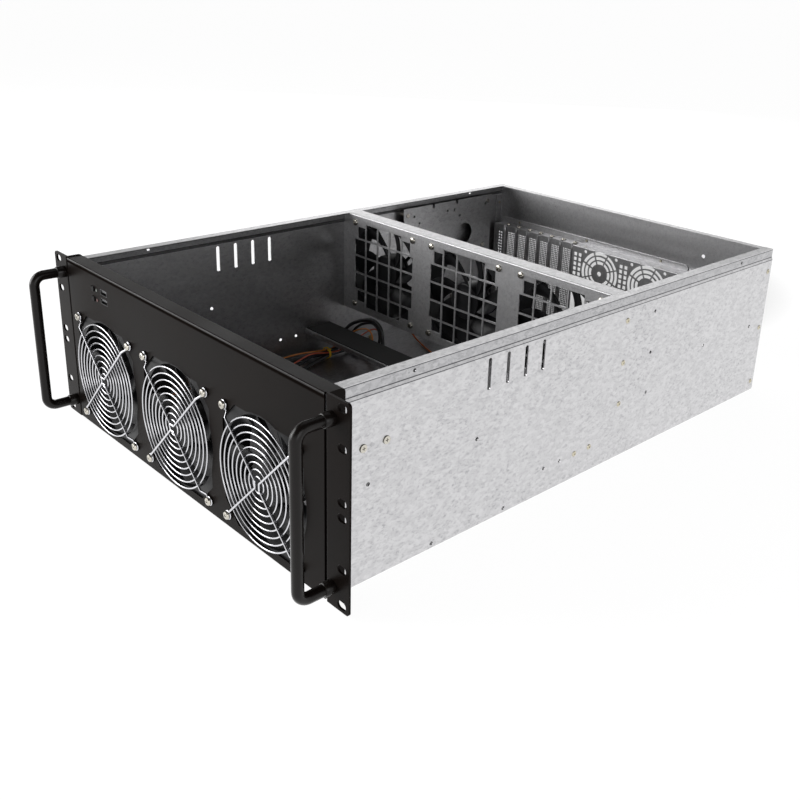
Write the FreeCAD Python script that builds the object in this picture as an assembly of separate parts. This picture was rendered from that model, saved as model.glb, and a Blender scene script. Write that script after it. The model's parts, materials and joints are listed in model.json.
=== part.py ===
"""Empty 4U rackmount server case without its lid, as separate solids.

X runs from left to right seen from the front, Y runs from the front to the rear
and Z runs up from the floor.  While the pieces are made, Y = 0 is the front face
of the rack ears.  On export everything moves along Y, so that the origin lies
under the middle of the whole case.
"""
import FreeCAD, Part
import math
import os

V = FreeCAD.Vector

# ---------------------------------------------------------------- driving sizes, mm
rack_units = 4
rack_unit = 44.45
ear_height = rack_units * rack_unit - 0.8
case_width = 426.0           # over the side walls
case_height = ear_height - 1.0
case_depth = 645.0           # ear face to rear wall
sheet = 1.2                  # galvanised sheet
panel_sheet = 1.6            # black front panel sheet
fit_gap = 0.1                # between nested sheets
tub_front = 3.0              # where the tub starts behind the ear face
joggle = 1.2                 # step of the side walls near the top
joggle_low = case_height - 12.3
joggle_high = case_height - 9.5
top_flange = 10.3            # width of the inward flange on each side wall
bend_radius = 2.0

ear_span = 482.6             # over both rack ears
ear_bottom = 1.0
ear_sheet = 2.0
ear_leg = 17.0
ear_tip_radius = 3.0
ear_leg_radius = 4.0
rack_hole_inset = 8.75       # from the ear's outer edge
rack_hole_span = ear_span - 2 * rack_hole_inset
rack_hole_margin = 6.35
rack_hole_offsets = (rack_hole_margin, rack_unit + rack_hole_margin,
                     rack_units / 2 * rack_unit - rack_hole_margin)
rack_slot_length = 10.5
rack_slot_height = 7.0

handle_from_wall = 8.0
handle_margin = 17.5         # from the ear's ends to the handle's feet
handle_reach = 37.0          # ear face to the outside of the bar
handle_rod = 10.0
handle_bend = 19.0
handle_collar = 12.0
handle_collar_length = 9.0
handle_screw = 5.0
handle_screw_head = 8.5
handle_screw_head_height = 2.6

panel_bottom = sheet + fit_gap
panel_top = case_height + sheet
panel_top_return = 15.0
panel_side_return = 12.0

fan_size = 120.0
fan_depth = 25.0
fan_hole_span = 105.0
fan_bore = 116.0
fan_flange = 4.0
fan_corner = 7.0
fan_screw = 4.0
fan_screw_hole = 4.4
rotor_tip_gap = 1.2
rotor_hub = 42.0
rotor_cup_depth = 17.0
rotor_cup_wall = 1.6
rotor_shaft = 3.0
shaft_gap = 0.05
blade_count = 7
blade_thickness = 1.5
blade_sweep = 34.0           # degrees from root to tip
blade_root_pitch = 42.0
blade_tip_pitch = 27.0
motor_mount = 40.0
stator = 32.0

front_fan_middle = -6.15
front_fan_pitch = 135.3
front_fan_height = 67.0
panel_fan_bore = 121.0
panel_fan_half = 57.0
panel_fan_short = 38.0

guard_outer = 57.0
guard_pitch = 6.2
guard_rings = 9
guard_wire = 1.6
guard_leg_wire = 2.0
guard_leg_stand = 3.4        # panel face to the middle of a leg wire
guard_weld = 0.2
guard_section = 0.55         # half diagonal of a drawn wire, per wire size
guard_apex = 3.0             # half the gap between the two leg wires
eyelet_radius = 3.6

mid_wall_y = 354.6
mid_wall_bottom = case_height - 124.0
mid_wall_flange = 20.0
mid_fan_pitch = 136.7
mid_fan_height = case_height - 62.1
grid_cells = 5
grid_pitch = 21.9
grid_cell = 18.4
grid_corner_cut = 5.0

screw_head = 7.8
screw_head_height = 2.2
rivet_head = 6.0
rivet_head_height = 0.9
rivet_shank = 3.2

vent_count = 4
vent_first = 173.0
vent_pitch = 23.2
vent_low = case_height - 45.0
vent_high = case_height - 15.5
vent_width = 4.0
rail_hole_height = 88.3
rail_holes = (41.0, 161.8, case_depth - 128.5, case_depth - 31.0)
rail_hole = 3.8
foot_holes = (112.0, 201.8)
foot_hole_height = 5.6
lid_holes = (87.8, case_depth - 68.3)
lid_hole_height = case_height - 4.8
lid_hole = 3.4
spare_hole = 3.6
spare_wall_shift = 46.2      # from the fan wall's rivets to its spare holes
flank_screws = (35.9, 59.2)
flank_screw_height = 121.0

bar_y = mid_wall_y - 61.6
bar_width = 38.0
bar_top = 36.0
bar_lip = 6.5
bar_pad = 1.5
bar_tab = 22.0               # height of the end tabs
bar_rivets = (8.5, 31.5)
bar_rivet_drop = 8.5         # from the bar's top to its rivets
spare_bar_shift = 45.7       # from the bar's rivets to its spare holes

recess_y = case_depth - 18.0
recess_left = -206.0
recess_right = 107.0
shelf_top = 122.5
shelf_flange = 8.0
shelf_rivets = (-172.2, -51.4, 67.0)
shelf_rivet_rise = 4.8

slot_count = 7
slot_first = -192.9
slot_pitch = 20.32
slot_width = 13.5
slot_low = 12.0
slot_high = 117.0
cover_width = 17.4
cover_sheet = 0.9
cover_low = 7.0
cover_tab = 12.0
cover_screw_shift = 7.6
cover_screw = 3.0
cover_screw_head = 6.0

grille_middles = (-14.7, 59.9)
grille_height = 92.4
grille_screw_span = 50.0
grille_rings = ((13.0, 17.0), (19.0, 23.0), (25.0, 29.0))
grille_spokes = 8
grille_spoke_width = 1.8
mesh_columns = (-56.0, -48.4, 18.9, 26.5)
mesh_top = 111.0
mesh_pitch = 6.7
mesh_rows = 8
mesh_hole = 4.6

io_left = -58.5
io_width = 158.75
io_height = 44.45
io_bottom = 12.0

psu_left = 118.9
psu_bottom = 2.7
psu_width = 86.0
psu_margin = 12.0
psu_screw_hole = 4.8
psu_screw_places = ((6, 6), (80, 6), (80, 120), (6, 144))
psu_cut_low = 10.0
psu_cut_high = 128.0

side_plate_gap = 8.8         # from the left wall's inner face
side_plate_front = recess_y - 181.0
side_plate_rear = recess_y - 15.0
side_plate_top = case_height - 9.0
side_plate_bottom = 14.0
side_plate_hole = 31.0
side_plate_waist = 62.0      # how far the lower edge starts behind the front edge
side_plate_round = 10.0
plate_hole = 3.4

standoff_columns = (16.51, 140.97, 298.45)
standoff_rows = (10.16, 165.1, 237.49)
standoff_height = 6.5
standoff_size = 5.5
standoff_thread = 3.2

usb_x = -135.2
usb_drops = (17.7, 26.7)     # from the panel's top
usb_width = 13.1
usb_height = 5.7
usb_depth = 12.0
usb_wall = 0.4
button_x = -157.2
button_drops = (18.3, 28.6)
button_width = 5.8
button_height = 4.6
button_proud = 1.2
button_travel = 1.0
button_gap = 0.2
stem_half = 1.5
cap_end = 4.0
led_x = -149.6
led_size = 3.0
led_length = 6.0
board_y = 12.0
board_sheet = 1.6
board_left = -168.0
board_right = -122.0
board_low_drop = 36.2
board_high_drop = 9.2
board_stud = 2.2
switch_half = 3.0

half_width = case_width / 2
wall_inside = half_width - sheet
band_outside = half_width - joggle
band_inside = band_outside - sheet
flange_edge = band_outside - top_flange
top_under = case_height - sheet
handle_gap = handle_reach - handle_rod / 2
handle_x = half_width + handle_from_wall
side_plate_x = side_plate_gap - wall_inside
usb_heights = tuple(panel_top - drop for drop in usb_drops)
button_heights = tuple(panel_top - drop for drop in button_drops)
board_bottom = panel_top - board_low_drop
board_top = panel_top - board_high_drop
stem_end = board_y - 4.0
mid_fan_y = mid_wall_y + sheet
origin_shift = (handle_reach - case_depth - rivet_head_height) / 2


# ---------------------------------------------------------------- helpers
def box(x0, x1, y0, y1, z0, z1):
    return Part.makeBox(x1 - x0, y1 - y0, z1 - z0, V(x0, y0, z0))


def rod_x(y, z, radius, x0, x1):
    return Part.makeCylinder(radius, x1 - x0, V(x0, y, z), V(1, 0, 0))


def rod_y(x, z, radius, y0, y1):
    return Part.makeCylinder(radius, y1 - y0, V(x, y0, z), V(0, 1, 0))


def rod_z(x, y, radius, z0, z1):
    return Part.makeCylinder(radius, z1 - z0, V(x, y, z0), V(0, 0, 1))


def prism_y(points, y0, y1):
    """Closed outline of (x, z) points, extruded from y0 to y1."""
    corners = [V(x, y0, z) for x, z in points]
    face = Part.Face(Part.makePolygon(corners + corners[:1]))
    return face.extrude(V(0, y1 - y0, 0))


def prism_x(points, x0, x1):
    """Closed outline of (y, z) points, extruded from x0 to x1."""
    corners = [V(x0, y, z) for y, z in points]
    face = Part.Face(Part.makePolygon(corners + corners[:1]))
    return face.extrude(V(x1 - x0, 0, 0))


def join(shapes):
    first = shapes[0]
    if len(shapes) == 1:
        return first
    return first.multiFuse(shapes[1:]).removeSplitter()


def mirrored(shape):
    return shape.mirror(V(0, 0, 0), V(1, 0, 0))


def edges_along(shape, axis, keep):
    """Straight edges parallel to one axis whose middle passes the test keep."""
    found = []
    for edge in shape.Edges:
        ends = [vertex.Point for vertex in edge.Vertexes]
        if len(ends) != 2:
            continue
        run = ends[1] - ends[0]
        if run.Length > 1e-6 and run.getAngle(axis) % math.pi < 1e-4 and keep((ends[0] + ends[1]) * 0.5):
            found.append(edge)
    return found


def slot_hole_x(y, z0, z1, width, x0, x1):
    """Upright slot with round ends, cut along X."""
    r = width / 2
    return join([box(x0, x1, y - r, y + r, z0 + r, z1 - r),
                 rod_x(y, z0 + r, r, x0, x1),
                 rod_x(y, z1 - r, r, x0, x1)])


def slot_hole_y(x, z, length, width, y0, y1):
    """Level slot with round ends, cut along Y."""
    r = width / 2
    reach = length / 2 - r
    return join([box(x - reach, x + reach, y0, y1, z - r, z + r),
                 rod_y(x - reach, z, r, y0, y1),
                 rod_y(x + reach, z, r, y0, y1)])


def corners(x, z, span):
    half = span / 2
    return [(x + sx * half, z + sz * half) for sz in (1, -1) for sx in (-1, 1)]


def export(name, shapes):
    group = shapes if isinstance(shapes, list) else [shapes]
    solids = [solid for shape in group for solid in shape.Solids]
    whole = solids[0] if len(solids) == 1 else Part.makeCompound(solids)
    whole = whole.copy()
    whole.translate(V(0, origin_shift, 0))
    whole.exportStep("parts/" + name + ".step")


# ---------------------------------------------------------------- sheet metal tub
def wall_profile(flanged):
    """Right half of the folded section, from the bottom corner up and back down."""
    if flanged:
        head = [(band_outside, case_height), (flange_edge, case_height),
                (flange_edge, top_under), (band_inside, top_under)]
    else:
        low_top = panel_top - panel_sheet - fit_gap
        head = [(band_outside, low_top), (band_inside, low_top)]
    return ([(half_width, 0), (half_width, joggle_low), (band_outside, joggle_high)] + head +
            [(band_inside, joggle_high), (wall_inside, joggle_low), (wall_inside, sheet)])


def folded_tub(flanged, y0, y1):
    right = wall_profile(flanged)
    left = [(-x, z) for x, z in reversed(right)]
    tub = prism_y(right + left, y0, y1)
    outer = edges_along(tub, V(0, 1, 0), lambda p: abs(p.z) < 1e-6)
    return tub.makeFillet(bend_radius, outer)


def chassis_tub():
    tub = join([folded_tub(False, tub_front, ear_leg), folded_tub(True, ear_leg, case_depth)])
    out = half_width + 5
    cuts = []
    for i in range(vent_count):
        cuts.append(slot_hole_x(vent_first + i * vent_pitch, vent_low, vent_high, vent_width, -out, out))
    for y in rail_holes:
        cuts.append(rod_x(y, rail_hole_height, rail_hole / 2, -out, out))
    for y in lid_holes:
        cuts.append(rod_x(y, lid_hole_height, lid_hole / 2, -out, out))
    for y in foot_holes:
        cuts.append(rod_x(y, foot_hole_height, spare_hole / 2, -out, out))
    for y in flank_screws:
        cuts.append(rod_x(y, flank_screw_height, fan_screw_hole / 2, -out, out))
    for y, z in rivet_places():
        cuts.append(rod_x(y, z, rivet_shank / 2 + fit_gap, -out, out))
    for y, z in spare_places():
        cuts.append(rod_x(y, z, spare_hole / 2, -out, out))
    return tub.cut(cuts)


def wall_rivet_heights(low):
    high = case_height - 25.8
    return (low, (low + high) / 2, high)


def fan_wall_rivets():
    return [(mid_wall_y + 13, z) for z in wall_rivet_heights(mid_wall_bottom + 9.4)]


def rear_wall_rivets():
    return [(case_depth - 6, z) for z in wall_rivet_heights(12.8)]


def bar_rivet_places():
    return [(bar_y + along, bar_top - bar_rivet_drop) for along in bar_rivets]


def rivet_places():
    """Rivets through both side walls, for the fan wall, the rear wall and the crossbar."""
    return fan_wall_rivets() + rear_wall_rivets() + bar_rivet_places()


def spare_places():
    """Empty holes for a second place of the fan wall and of the crossbar."""
    wall = [(y + spare_wall_shift, z) for y, z in fan_wall_rivets()]
    return wall + [(y - spare_bar_shift, z) for y, z in bar_rivet_places()]


# ---------------------------------------------------------------- front panel and ears
def fan_opening(x):
    long_side = panel_fan_half
    short = panel_fan_short
    outline = [(x + sx * a, front_fan_height + sz * b)
               for sx, sz, a, b in ((1, 1, long_side, short), (1, 1, short, long_side),
                                    (-1, 1, short, long_side), (-1, 1, long_side, short),
                                    (-1, -1, long_side, short), (-1, -1, short, long_side),
                                    (1, -1, short, long_side), (1, -1, long_side, short))]
    return join([prism_y(outline, -1, panel_sheet + 1),
                 rod_y(x, front_fan_height, panel_fan_bore / 2, -1, panel_sheet + 1)])


def front_fan_places():
    return [front_fan_middle + i * front_fan_pitch for i in (-1, 0, 1)]


def front_panel():
    edge = wall_inside - fit_gap
    face = box(-edge, edge, 0, panel_sheet, panel_bottom, panel_top)
    top = box(-edge, edge, 0, panel_top_return, panel_top - panel_sheet, panel_top)
    bottom = box(-edge, edge, 0, panel_side_return, panel_bottom, panel_bottom + panel_sheet)
    panel = join([face, top, bottom])
    for sign in (-1, 1):
        inner = edge - panel_sheet
        low, high = sorted((sign * inner, sign * edge))
        panel = join([panel, box(low, high, 0, panel_side_return, panel_bottom, joggle_low - 2)])
    rims = edges_along(panel, V(1, 0, 0), lambda p: p.y < 1e-6)
    panel = panel.makeFillet(panel_sheet * 0.7, rims)
    cuts = []
    for x in front_fan_places():
        cuts.append(fan_opening(x))
        for sx, sz in corners(x, front_fan_height, fan_hole_span):
            cuts.append(rod_y(sx, sz, fan_screw_hole / 2, -1, panel_sheet + 1))
    return panel.cut(cuts + front_io_cuts())


def rack_ear():
    """Right ear: a leg against the side wall and a flange with the rack slots."""
    top = ear_bottom + ear_height
    x0 = half_width
    x1 = ear_span / 2
    leg = box(x0, x0 + ear_sheet, 0, ear_leg, ear_bottom, top)
    flange = box(x0, x1, 0, ear_sheet, ear_bottom, top)
    ear = join([leg, flange])
    fold = edges_along(ear, V(0, 0, 1), lambda p: p.y < 1e-6 and abs(p.x - x0) < 1e-6)
    fold_radius = ear_sheet * 1.2
    ear = ear.makeFillet(fold_radius, fold)
    tips = edges_along(ear, V(0, 1, 0), lambda p: abs(p.x - x1) < 1e-6)
    ear = ear.makeFillet(min(ear_tip_radius, 0.8 * (x1 - x0 - fold_radius)), tips)
    backs = edges_along(ear, V(1, 0, 0), lambda p: abs(p.y - ear_leg) < 1e-6)
    ear = ear.makeFillet(ear_leg_radius, backs)
    middle = ear_bottom + ear_height / 2
    cuts = []
    for offset in rack_hole_offsets:
        for sign in (-1, 1):
            cuts.append(slot_hole_y(rack_hole_span / 2, middle + sign * offset,
                                    rack_slot_length, rack_slot_height, -1, ear_sheet + 1))
    for z in handle_feet():
        cuts.append(rod_y(handle_x, z, handle_screw / 2 + fit_gap, -1, ear_sheet + 1))
    return ear.cut(cuts)


def handle_feet():
    return (ear_bottom + handle_margin, ear_bottom + ear_height - handle_margin)


def handle():
    """Right handle: one bent rod with a thicker collar at each foot."""
    low, high = handle_feet()
    r = handle_bend
    k = r * (1 - math.sqrt(0.5))
    y = -handle_gap
    path = Part.Wire([
        Part.makeLine(V(handle_x, 0, low), V(handle_x, y + r, low)),
        Part.Arc(V(handle_x, y + r, low), V(handle_x, y + k, low + k), V(handle_x, y, low + r)).toShape(),
        Part.makeLine(V(handle_x, y, low + r), V(handle_x, y, high - r)),
        Part.Arc(V(handle_x, y, high - r), V(handle_x, y + k, high - k), V(handle_x, y + r, high)).toShape(),
        Part.makeLine(V(handle_x, y + r, high), V(handle_x, 0, high))])
    start = Part.Wire(Part.makeCircle(handle_rod / 2, V(handle_x, 0, low), V(0, 1, 0)))
    bar = path.makePipeShell([start], True, False)
    collars = [rod_y(handle_x, z, handle_collar / 2, -handle_collar_length, 0) for z in (low, high)]
    whole = join([bar] + collars)
    threads = [rod_y(handle_x, z, handle_screw / 2 + fit_gap / 2, -10, 1) for z in (low, high)]
    return whole.cut(threads)


def handle_screws():
    screws = []
    for sign in (-1, 1):
        for z in handle_feet():
            x = sign * handle_x
            shank = rod_y(x, z, handle_screw / 2, -9, ear_sheet)
            head = rod_y(x, z, handle_screw_head / 2, ear_sheet, ear_sheet + handle_screw_head_height)
            screws.append(join([shank, head]))
    return screws


# ---------------------------------------------------------------- fans
def fan_frame(x, z, y0):
    """Square fan frame: two corner flanges, a duct tube, motor mount and struts."""
    half = fan_size / 2
    y1 = y0 + fan_depth
    block = box(x - half, x + half, y0, y1, z - half, z + half)
    block = block.makeFillet(fan_corner, edges_along(block, V(0, 1, 0), lambda p: True))
    duct = rod_y(x, z, half + 1.5, y0 + fan_flange, y1 - fan_flange)
    between = box(x - half, x + half, y0 + fan_flange, y1 - fan_flange, z - half, z + half)
    frame = block.cut(between.cut(duct))
    frame = frame.cut([rod_y(x, z, fan_bore / 2, y0 - 1, y1 + 1)])
    mount = rod_y(x, z, motor_mount / 2, y1 - 3, y1)
    tube = rod_y(x, z, stator / 2, y0 + rotor_cup_wall + 3, y1 - 3)
    struts = []
    for i in range(4):
        strut = box(x, x + fan_bore / 2 + 1, y1 - 3, y1, z - 1.6, z + 1.6)
        struts.append(strut.rotate(V(x, 0, z), V(0, 1, 0), 45 + 90 * i))
    frame = join([frame, mount, tube] + struts)
    cuts = [rod_y(x, z, rotor_shaft / 2 + shaft_gap, y0, y1 - 1.5)]
    for sx, sz in corners(x, z, fan_hole_span):
        cuts.append(rod_y(sx, sz, fan_screw_hole / 2, y0 - 1, y1 + 1))
    return frame.cut(cuts)


def blade_section(radius, angle, pitch, chord, y_mid):
    """Thin curved section square to the radius, as a closed wire."""
    turn = math.radians(angle)
    out = V(math.cos(turn), 0, math.sin(turn))
    along = V(-math.sin(turn), 0, math.cos(turn))
    lean = math.radians(pitch)
    direction = along * math.cos(lean) + V(0, math.sin(lean), 0)
    normal = along * -math.sin(lean) + V(0, math.cos(lean), 0)
    middle = out * radius + V(0, y_mid, 0)
    half = blade_thickness / 2
    camber = chord * 0.09
    lead = middle - direction * (chord / 2)
    trail = middle + direction * (chord / 2)
    crown = middle - normal * camber
    upper = Part.Arc(lead - normal * half, crown - normal * half, trail - normal * half).toShape()
    lower = Part.Arc(trail + normal * half, crown + normal * half, lead + normal * half).toShape()
    tip = Part.makeLine(trail - normal * half, trail + normal * half)
    nose = Part.makeLine(lead + normal * half, lead - normal * half)
    return Part.Wire([upper, tip, lower, nose])


def blade(y_mid):
    tip = fan_bore / 2 - rotor_tip_gap
    root = rotor_hub / 2 - 1
    mid = (root + tip) / 2
    sections = [blade_section(root, 0, blade_root_pitch, 22, y_mid),
                blade_section(mid, blade_sweep * 0.42, (blade_root_pitch + blade_tip_pitch) / 2, 30, y_mid),
                blade_section(tip, blade_sweep, blade_tip_pitch, 34, y_mid)]
    return Part.makeLoft(sections, True, False)


def fan_rotor(x, z, y0):
    """Hub cup with its shaft and swept blades."""
    front = 2.0
    hub = rod_y(0, 0, rotor_hub / 2, front, front + rotor_cup_depth)
    rim = edges_along_circle(hub, front)
    hub = hub.makeFillet(1.5, rim)
    hollow = rod_y(0, 0, rotor_hub / 2 - rotor_cup_wall, front + rotor_cup_wall, front + rotor_cup_depth + 1)
    vane = blade(front + rotor_cup_depth / 2)
    vanes = [vane.copy().rotate(V(0, 0, 0), V(0, 1, 0), 360.0 * i / blade_count) for i in range(blade_count)]
    limit = rod_y(0, 0, fan_bore / 2 - rotor_tip_gap, 0, fan_depth).cut(
        rod_y(0, 0, rotor_hub / 2 - rotor_cup_wall / 2, -1, fan_depth + 1))
    vanes = [piece.common(limit) for piece in vanes]
    shaft = rod_y(0, 0, rotor_shaft / 2, front, fan_depth - 5)
    rotor = join([hub.cut(hollow)] + vanes + [shaft])
    rotor.translate(V(x, y0, z))
    return rotor


def edges_along_circle(shape, y):
    return [edge for edge in shape.Edges
            if len(edge.Vertexes) == 1 and abs(edge.BoundBox.YMin - y) < 1e-6
            and abs(edge.BoundBox.YMax - y) < 1e-6]


def fan_screws(places, height, seat, reach):
    screws = []
    for x in places:
        for sx, sz in corners(x, height, fan_hole_span):
            shank = rod_y(sx, sz, fan_screw / 2, seat, seat + reach)
            head = rod_y(sx, sz, screw_head / 2, seat - screw_head_height, seat)
            screws.append(join([head, shank]))
    return screws


# ---------------------------------------------------------------- wire guards
def wire_ring(radius, wire, y):
    """Ring of wire, drawn with a square section set on its corner."""
    h = wire * guard_section
    section = [V(radius, y - h, 0), V(radius + h, y, 0), V(radius, y + h, 0), V(radius - h, y, 0)]
    face = Part.Face(Part.makePolygon(section + section[:1]))
    return face.revolve(V(0, 0, 0), V(0, 1, 0), 360)


def wire_run(a, b, wire):
    way = b - a
    return Part.makeCylinder(wire / 2, way.Length, a, way)


def guard_leg(sz):
    """One wire: eyelet, crank, in to the middle, across and out to the other eyelet."""
    corner = fan_hole_span / 2
    low = -guard_leg_wire * guard_section
    high = -guard_leg_stand
    start = corner - eyelet_radius * math.sqrt(0.5)
    foot = start - 1.5
    knee = foot - 3.0
    half = [V(start, low, sz * start), V(foot, low, sz * foot), V(knee, high, sz * knee),
            V(guard_apex, high, sz * guard_apex)]
    stops = half + [V(-p.x, p.y, p.z) for p in reversed(half)]
    pieces = [wire_run(a, b, guard_leg_wire) for a, b in zip(stops, stops[1:])]
    pieces += [Part.makeSphere(guard_leg_wire / 2, p) for p in stops[1:-1]]
    for sx in (-1, 1):
        eye = wire_ring(eyelet_radius, guard_leg_wire, low)
        eye.translate(V(sx * corner, 0, sz * corner))
        pieces.append(eye)
    return pieces


def fan_guard(x, z, turned):
    ring_y = -guard_leg_stand + (guard_leg_wire + guard_wire) / 2 - guard_weld
    pieces = [wire_ring(guard_outer - i * guard_pitch, guard_wire, ring_y) for i in range(guard_rings)]
    for sz in (-1, 1):
        pieces += guard_leg(sz)
    guard = join(pieces)
    if turned:
        guard.rotate(V(0, 0, 0), V(0, 1, 0), 90)
    guard.translate(V(x, 0, z))
    return guard


# ---------------------------------------------------------------- middle fan wall
def mid_fan_places():
    return [i * mid_fan_pitch for i in (-1, 0, 1)]


def grid_cuts(x, z, y0, y1):
    cuts = []
    last = grid_cells - 1
    for i in range(grid_cells):
        for j in range(grid_cells):
            cx = x + (i - last / 2) * grid_pitch
            cz = z + (j - last / 2) * grid_pitch
            h = grid_cell / 2
            x0, x1, z0, z1 = cx - h, cx + h, cz - h, cz + h
            if i in (0, last) and j in (0, last):
                x0 += grid_corner_cut if i == 0 else 0
                x1 -= grid_corner_cut if i == last else 0
                z0 += grid_corner_cut if j == 0 else 0
                z1 -= grid_corner_cut if j == last else 0
            cuts.append(box(x0, x1, y0, y1, z0, z1))
    return cuts


def mid_fan_wall():
    y = mid_wall_y
    wide = wall_inside - fit_gap
    narrow = band_inside - fit_gap
    between = flange_edge - fit_gap
    under = top_under - fit_gap
    half = [(wide, mid_wall_bottom), (wide, joggle_low - 0.5), (narrow, joggle_high - 0.5),
            (narrow, under), (between, under), (between, case_height)]
    face = prism_y(half + [(-px, pz) for px, pz in reversed(half)], y, y + sheet)
    top = box(-between, between, y, y + mid_wall_flange, top_under, case_height)
    pieces = [face, top]
    for sign in (-1, 1):
        low, high = sorted((sign * wide, sign * (wide - sheet)))
        pieces.append(box(low, high, y, y + mid_wall_flange, mid_wall_bottom, joggle_low - 2))
    wall = join(pieces)
    wall = wall.makeFillet(sheet, edges_along(wall, V(1, 0, 0), lambda p: abs(p.y - y) < 1e-6 and
                                              abs(p.z - case_height) < 1e-6))
    cuts = []
    for x in mid_fan_places():
        cuts += grid_cuts(x, mid_fan_height, y - 1, y + sheet + 1)
        for sx, sz in corners(x, mid_fan_height, fan_hole_span):
            cuts.append(rod_y(sx, sz, fan_screw_hole / 2, y - 1, y + sheet + 1))
    out = half_width + 5
    for ry, rz in fan_wall_rivets():
        cuts.append(rod_x(ry, rz, rivet_shank / 2 + fit_gap, -out, out))
    return wall.cut(cuts)


# ---------------------------------------------------------------- crossbar
def crossbar():
    """Inverted channel from wall to wall with an end tab on each wall."""
    end = wall_inside - fit_gap
    top = bar_top - bar_pad
    pieces = [box(-end, end, bar_y, bar_y + bar_width, top - sheet, top)]
    for y in (bar_y, bar_y + bar_width - sheet):
        pieces.append(box(-end, end, y, y + sheet, top - bar_lip, top))
    for sign in (-1, 1):
        low, high = sorted((sign * end, sign * (end - sheet)))
        pieces.append(box(low, high, bar_y + 2, bar_y + bar_width - 2, top - bar_tab, top))
    bar = join(pieces)
    bar = bar.makeFillet(sheet * 0.6, edges_along(bar, V(1, 0, 0), lambda p: abs(p.z - top) < 1e-6))
    return bar.cut([rod_x(y, z, rivet_shank / 2 + fit_gap, -half_width, half_width)
                    for y, z in bar_rivet_places()])


def crossbar_pad():
    end = wall_inside - fit_gap - 2
    return box(-end, end, bar_y + 1.2, bar_y + bar_width - 1.2, bar_top - bar_pad, bar_top)


# ---------------------------------------------------------------- rear
def rear_wall():
    y0 = case_depth - sheet
    wide = wall_inside - fit_gap
    narrow = band_inside - fit_gap
    between = flange_edge - fit_gap
    under = top_under - fit_gap
    foot = sheet + fit_gap
    half = [(wide, foot), (wide, joggle_low - 0.5), (narrow, joggle_high - 0.5),
            (narrow, under), (between, under), (between, case_height)]
    face = prism_y(half + [(-px, pz) for px, pz in reversed(half)], y0, case_depth)
    pieces = [face, box(-between, between, case_depth - top_flange, case_depth, top_under, case_height),
              box(recess_right, wide, case_depth - top_flange, case_depth, foot, foot + sheet)]
    for sign in (-1, 1):
        low, high = sorted((sign * wide, sign * (wide - sheet)))
        pieces.append(box(low, high, case_depth - 12, case_depth, foot, joggle_low - 2))
    wall = join(pieces)
    wall = wall.makeFillet(sheet, edges_along(wall, V(1, 0, 0), lambda p: abs(p.y - case_depth) < 1e-6 and
                                              abs(p.z - case_height) < 1e-6))
    cuts = [box(recess_left + 2, recess_right - 2, y0 - 1, case_depth + 1, -1, shelf_top - 2)]
    cuts.append(box(psu_left + psu_margin, psu_left + psu_width - psu_margin + 4, y0 - 1, case_depth + 1,
                    psu_bottom + psu_cut_low, psu_bottom + psu_cut_high))
    for across, up in psu_screw_places:
        cuts.append(rod_y(psu_left + across, psu_bottom + up, psu_screw_hole / 2, y0 - 1, case_depth + 1))
    for x in shelf_rivets:
        cuts.append(rod_y(x, shelf_top + shelf_rivet_rise, rivet_shank / 2 + fit_gap, y0 - 1, case_depth + 1))
    out = half_width + 5
    for ry, rz in rear_wall_rivets():
        cuts.append(rod_x(ry, rz, rivet_shank / 2 + fit_gap, -out, out))
    return wall.cut(cuts)


def slot_places():
    return [slot_first + i * slot_pitch for i in range(slot_count)]


def grille_cuts(x, z, y0, y1):
    """Concentric slots broken by spokes, with a middle hole and four screw holes."""
    cuts = [rod_y(x, z, 3.2, y0, y1)]
    outer = grille_rings[-1][1] + 2
    spokes = []
    for i in range(grille_spokes // 2):
        spoke = box(-outer, outer, y0, y1, -grille_spoke_width / 2, grille_spoke_width / 2)
        spoke.rotate(V(0, 0, 0), V(0, 1, 0), 360.0 / grille_spokes * (i + 0.5))
        spokes.append(spoke)
    for inner, outside in grille_rings:
        band = rod_y(0, 0, outside, y0, y1).cut(rod_y(0, 0, inner, y0, y1)).cut(spokes)
        band.translate(V(x, 0, z))
        cuts.append(band)
    for sx, sz in corners(x, z, grille_screw_span):
        cuts.append(rod_y(sx, sz, 2.2, y0, y1))
    return cuts


def rear_io_panel():
    """Recessed plate with a shelf on top, folded back to the rear wall."""
    back = case_depth - sheet
    foot = sheet + fit_gap
    outer = box(recess_left, recess_right, recess_y, back, foot, shelf_top)
    inner = box(recess_left + sheet, recess_right - sheet, recess_y + sheet, back + 1,
                foot - 1, shelf_top - sheet)
    flange = box(recess_left, recess_right, back - sheet, back, shelf_top - sheet, shelf_top + shelf_flange)
    tips = edges_along(flange, V(0, 1, 0), lambda p: p.z > shelf_top)
    flange = flange.makeFillet(4, tips)
    panel = join([outer.cut(inner), flange])
    panel = panel.makeFillet(sheet, edges_along(panel, V(1, 0, 0), lambda p: abs(p.y - recess_y) < 1e-6 and
                                                abs(p.z - shelf_top) < 1e-6))
    y0 = recess_y - 1
    y1 = recess_y + sheet + 1
    cuts = [box(x - slot_width / 2, x + slot_width / 2, y0, y1, slot_low, slot_high) for x in slot_places()]
    for x in grille_middles:
        cuts += grille_cuts(x, grille_height, y0, y1)
    for x in mesh_columns:
        for i in range(mesh_rows):
            z = mesh_top - i * mesh_pitch
            h = mesh_hole / 2
            cuts.append(box(x - h, x + h, y0, y1, z - h, z + h))
    cuts.append(box(io_left, io_left + io_width, y0, y1, io_bottom, io_bottom + io_height))
    for x in shelf_rivets:
        cuts.append(rod_y(x, shelf_top + shelf_rivet_rise, rivet_shank / 2 + fit_gap, back - 5, back + 1))
    for x in slot_places():
        cuts.append(rod_z(x + cover_screw_shift, cover_screw_y(), cover_screw / 2 + fit_gap,
                          shelf_top - 5, shelf_top + 1))
    return panel.cut(cuts)


def cover_screw_y():
    return recess_y + cover_tab * 0.55


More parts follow.
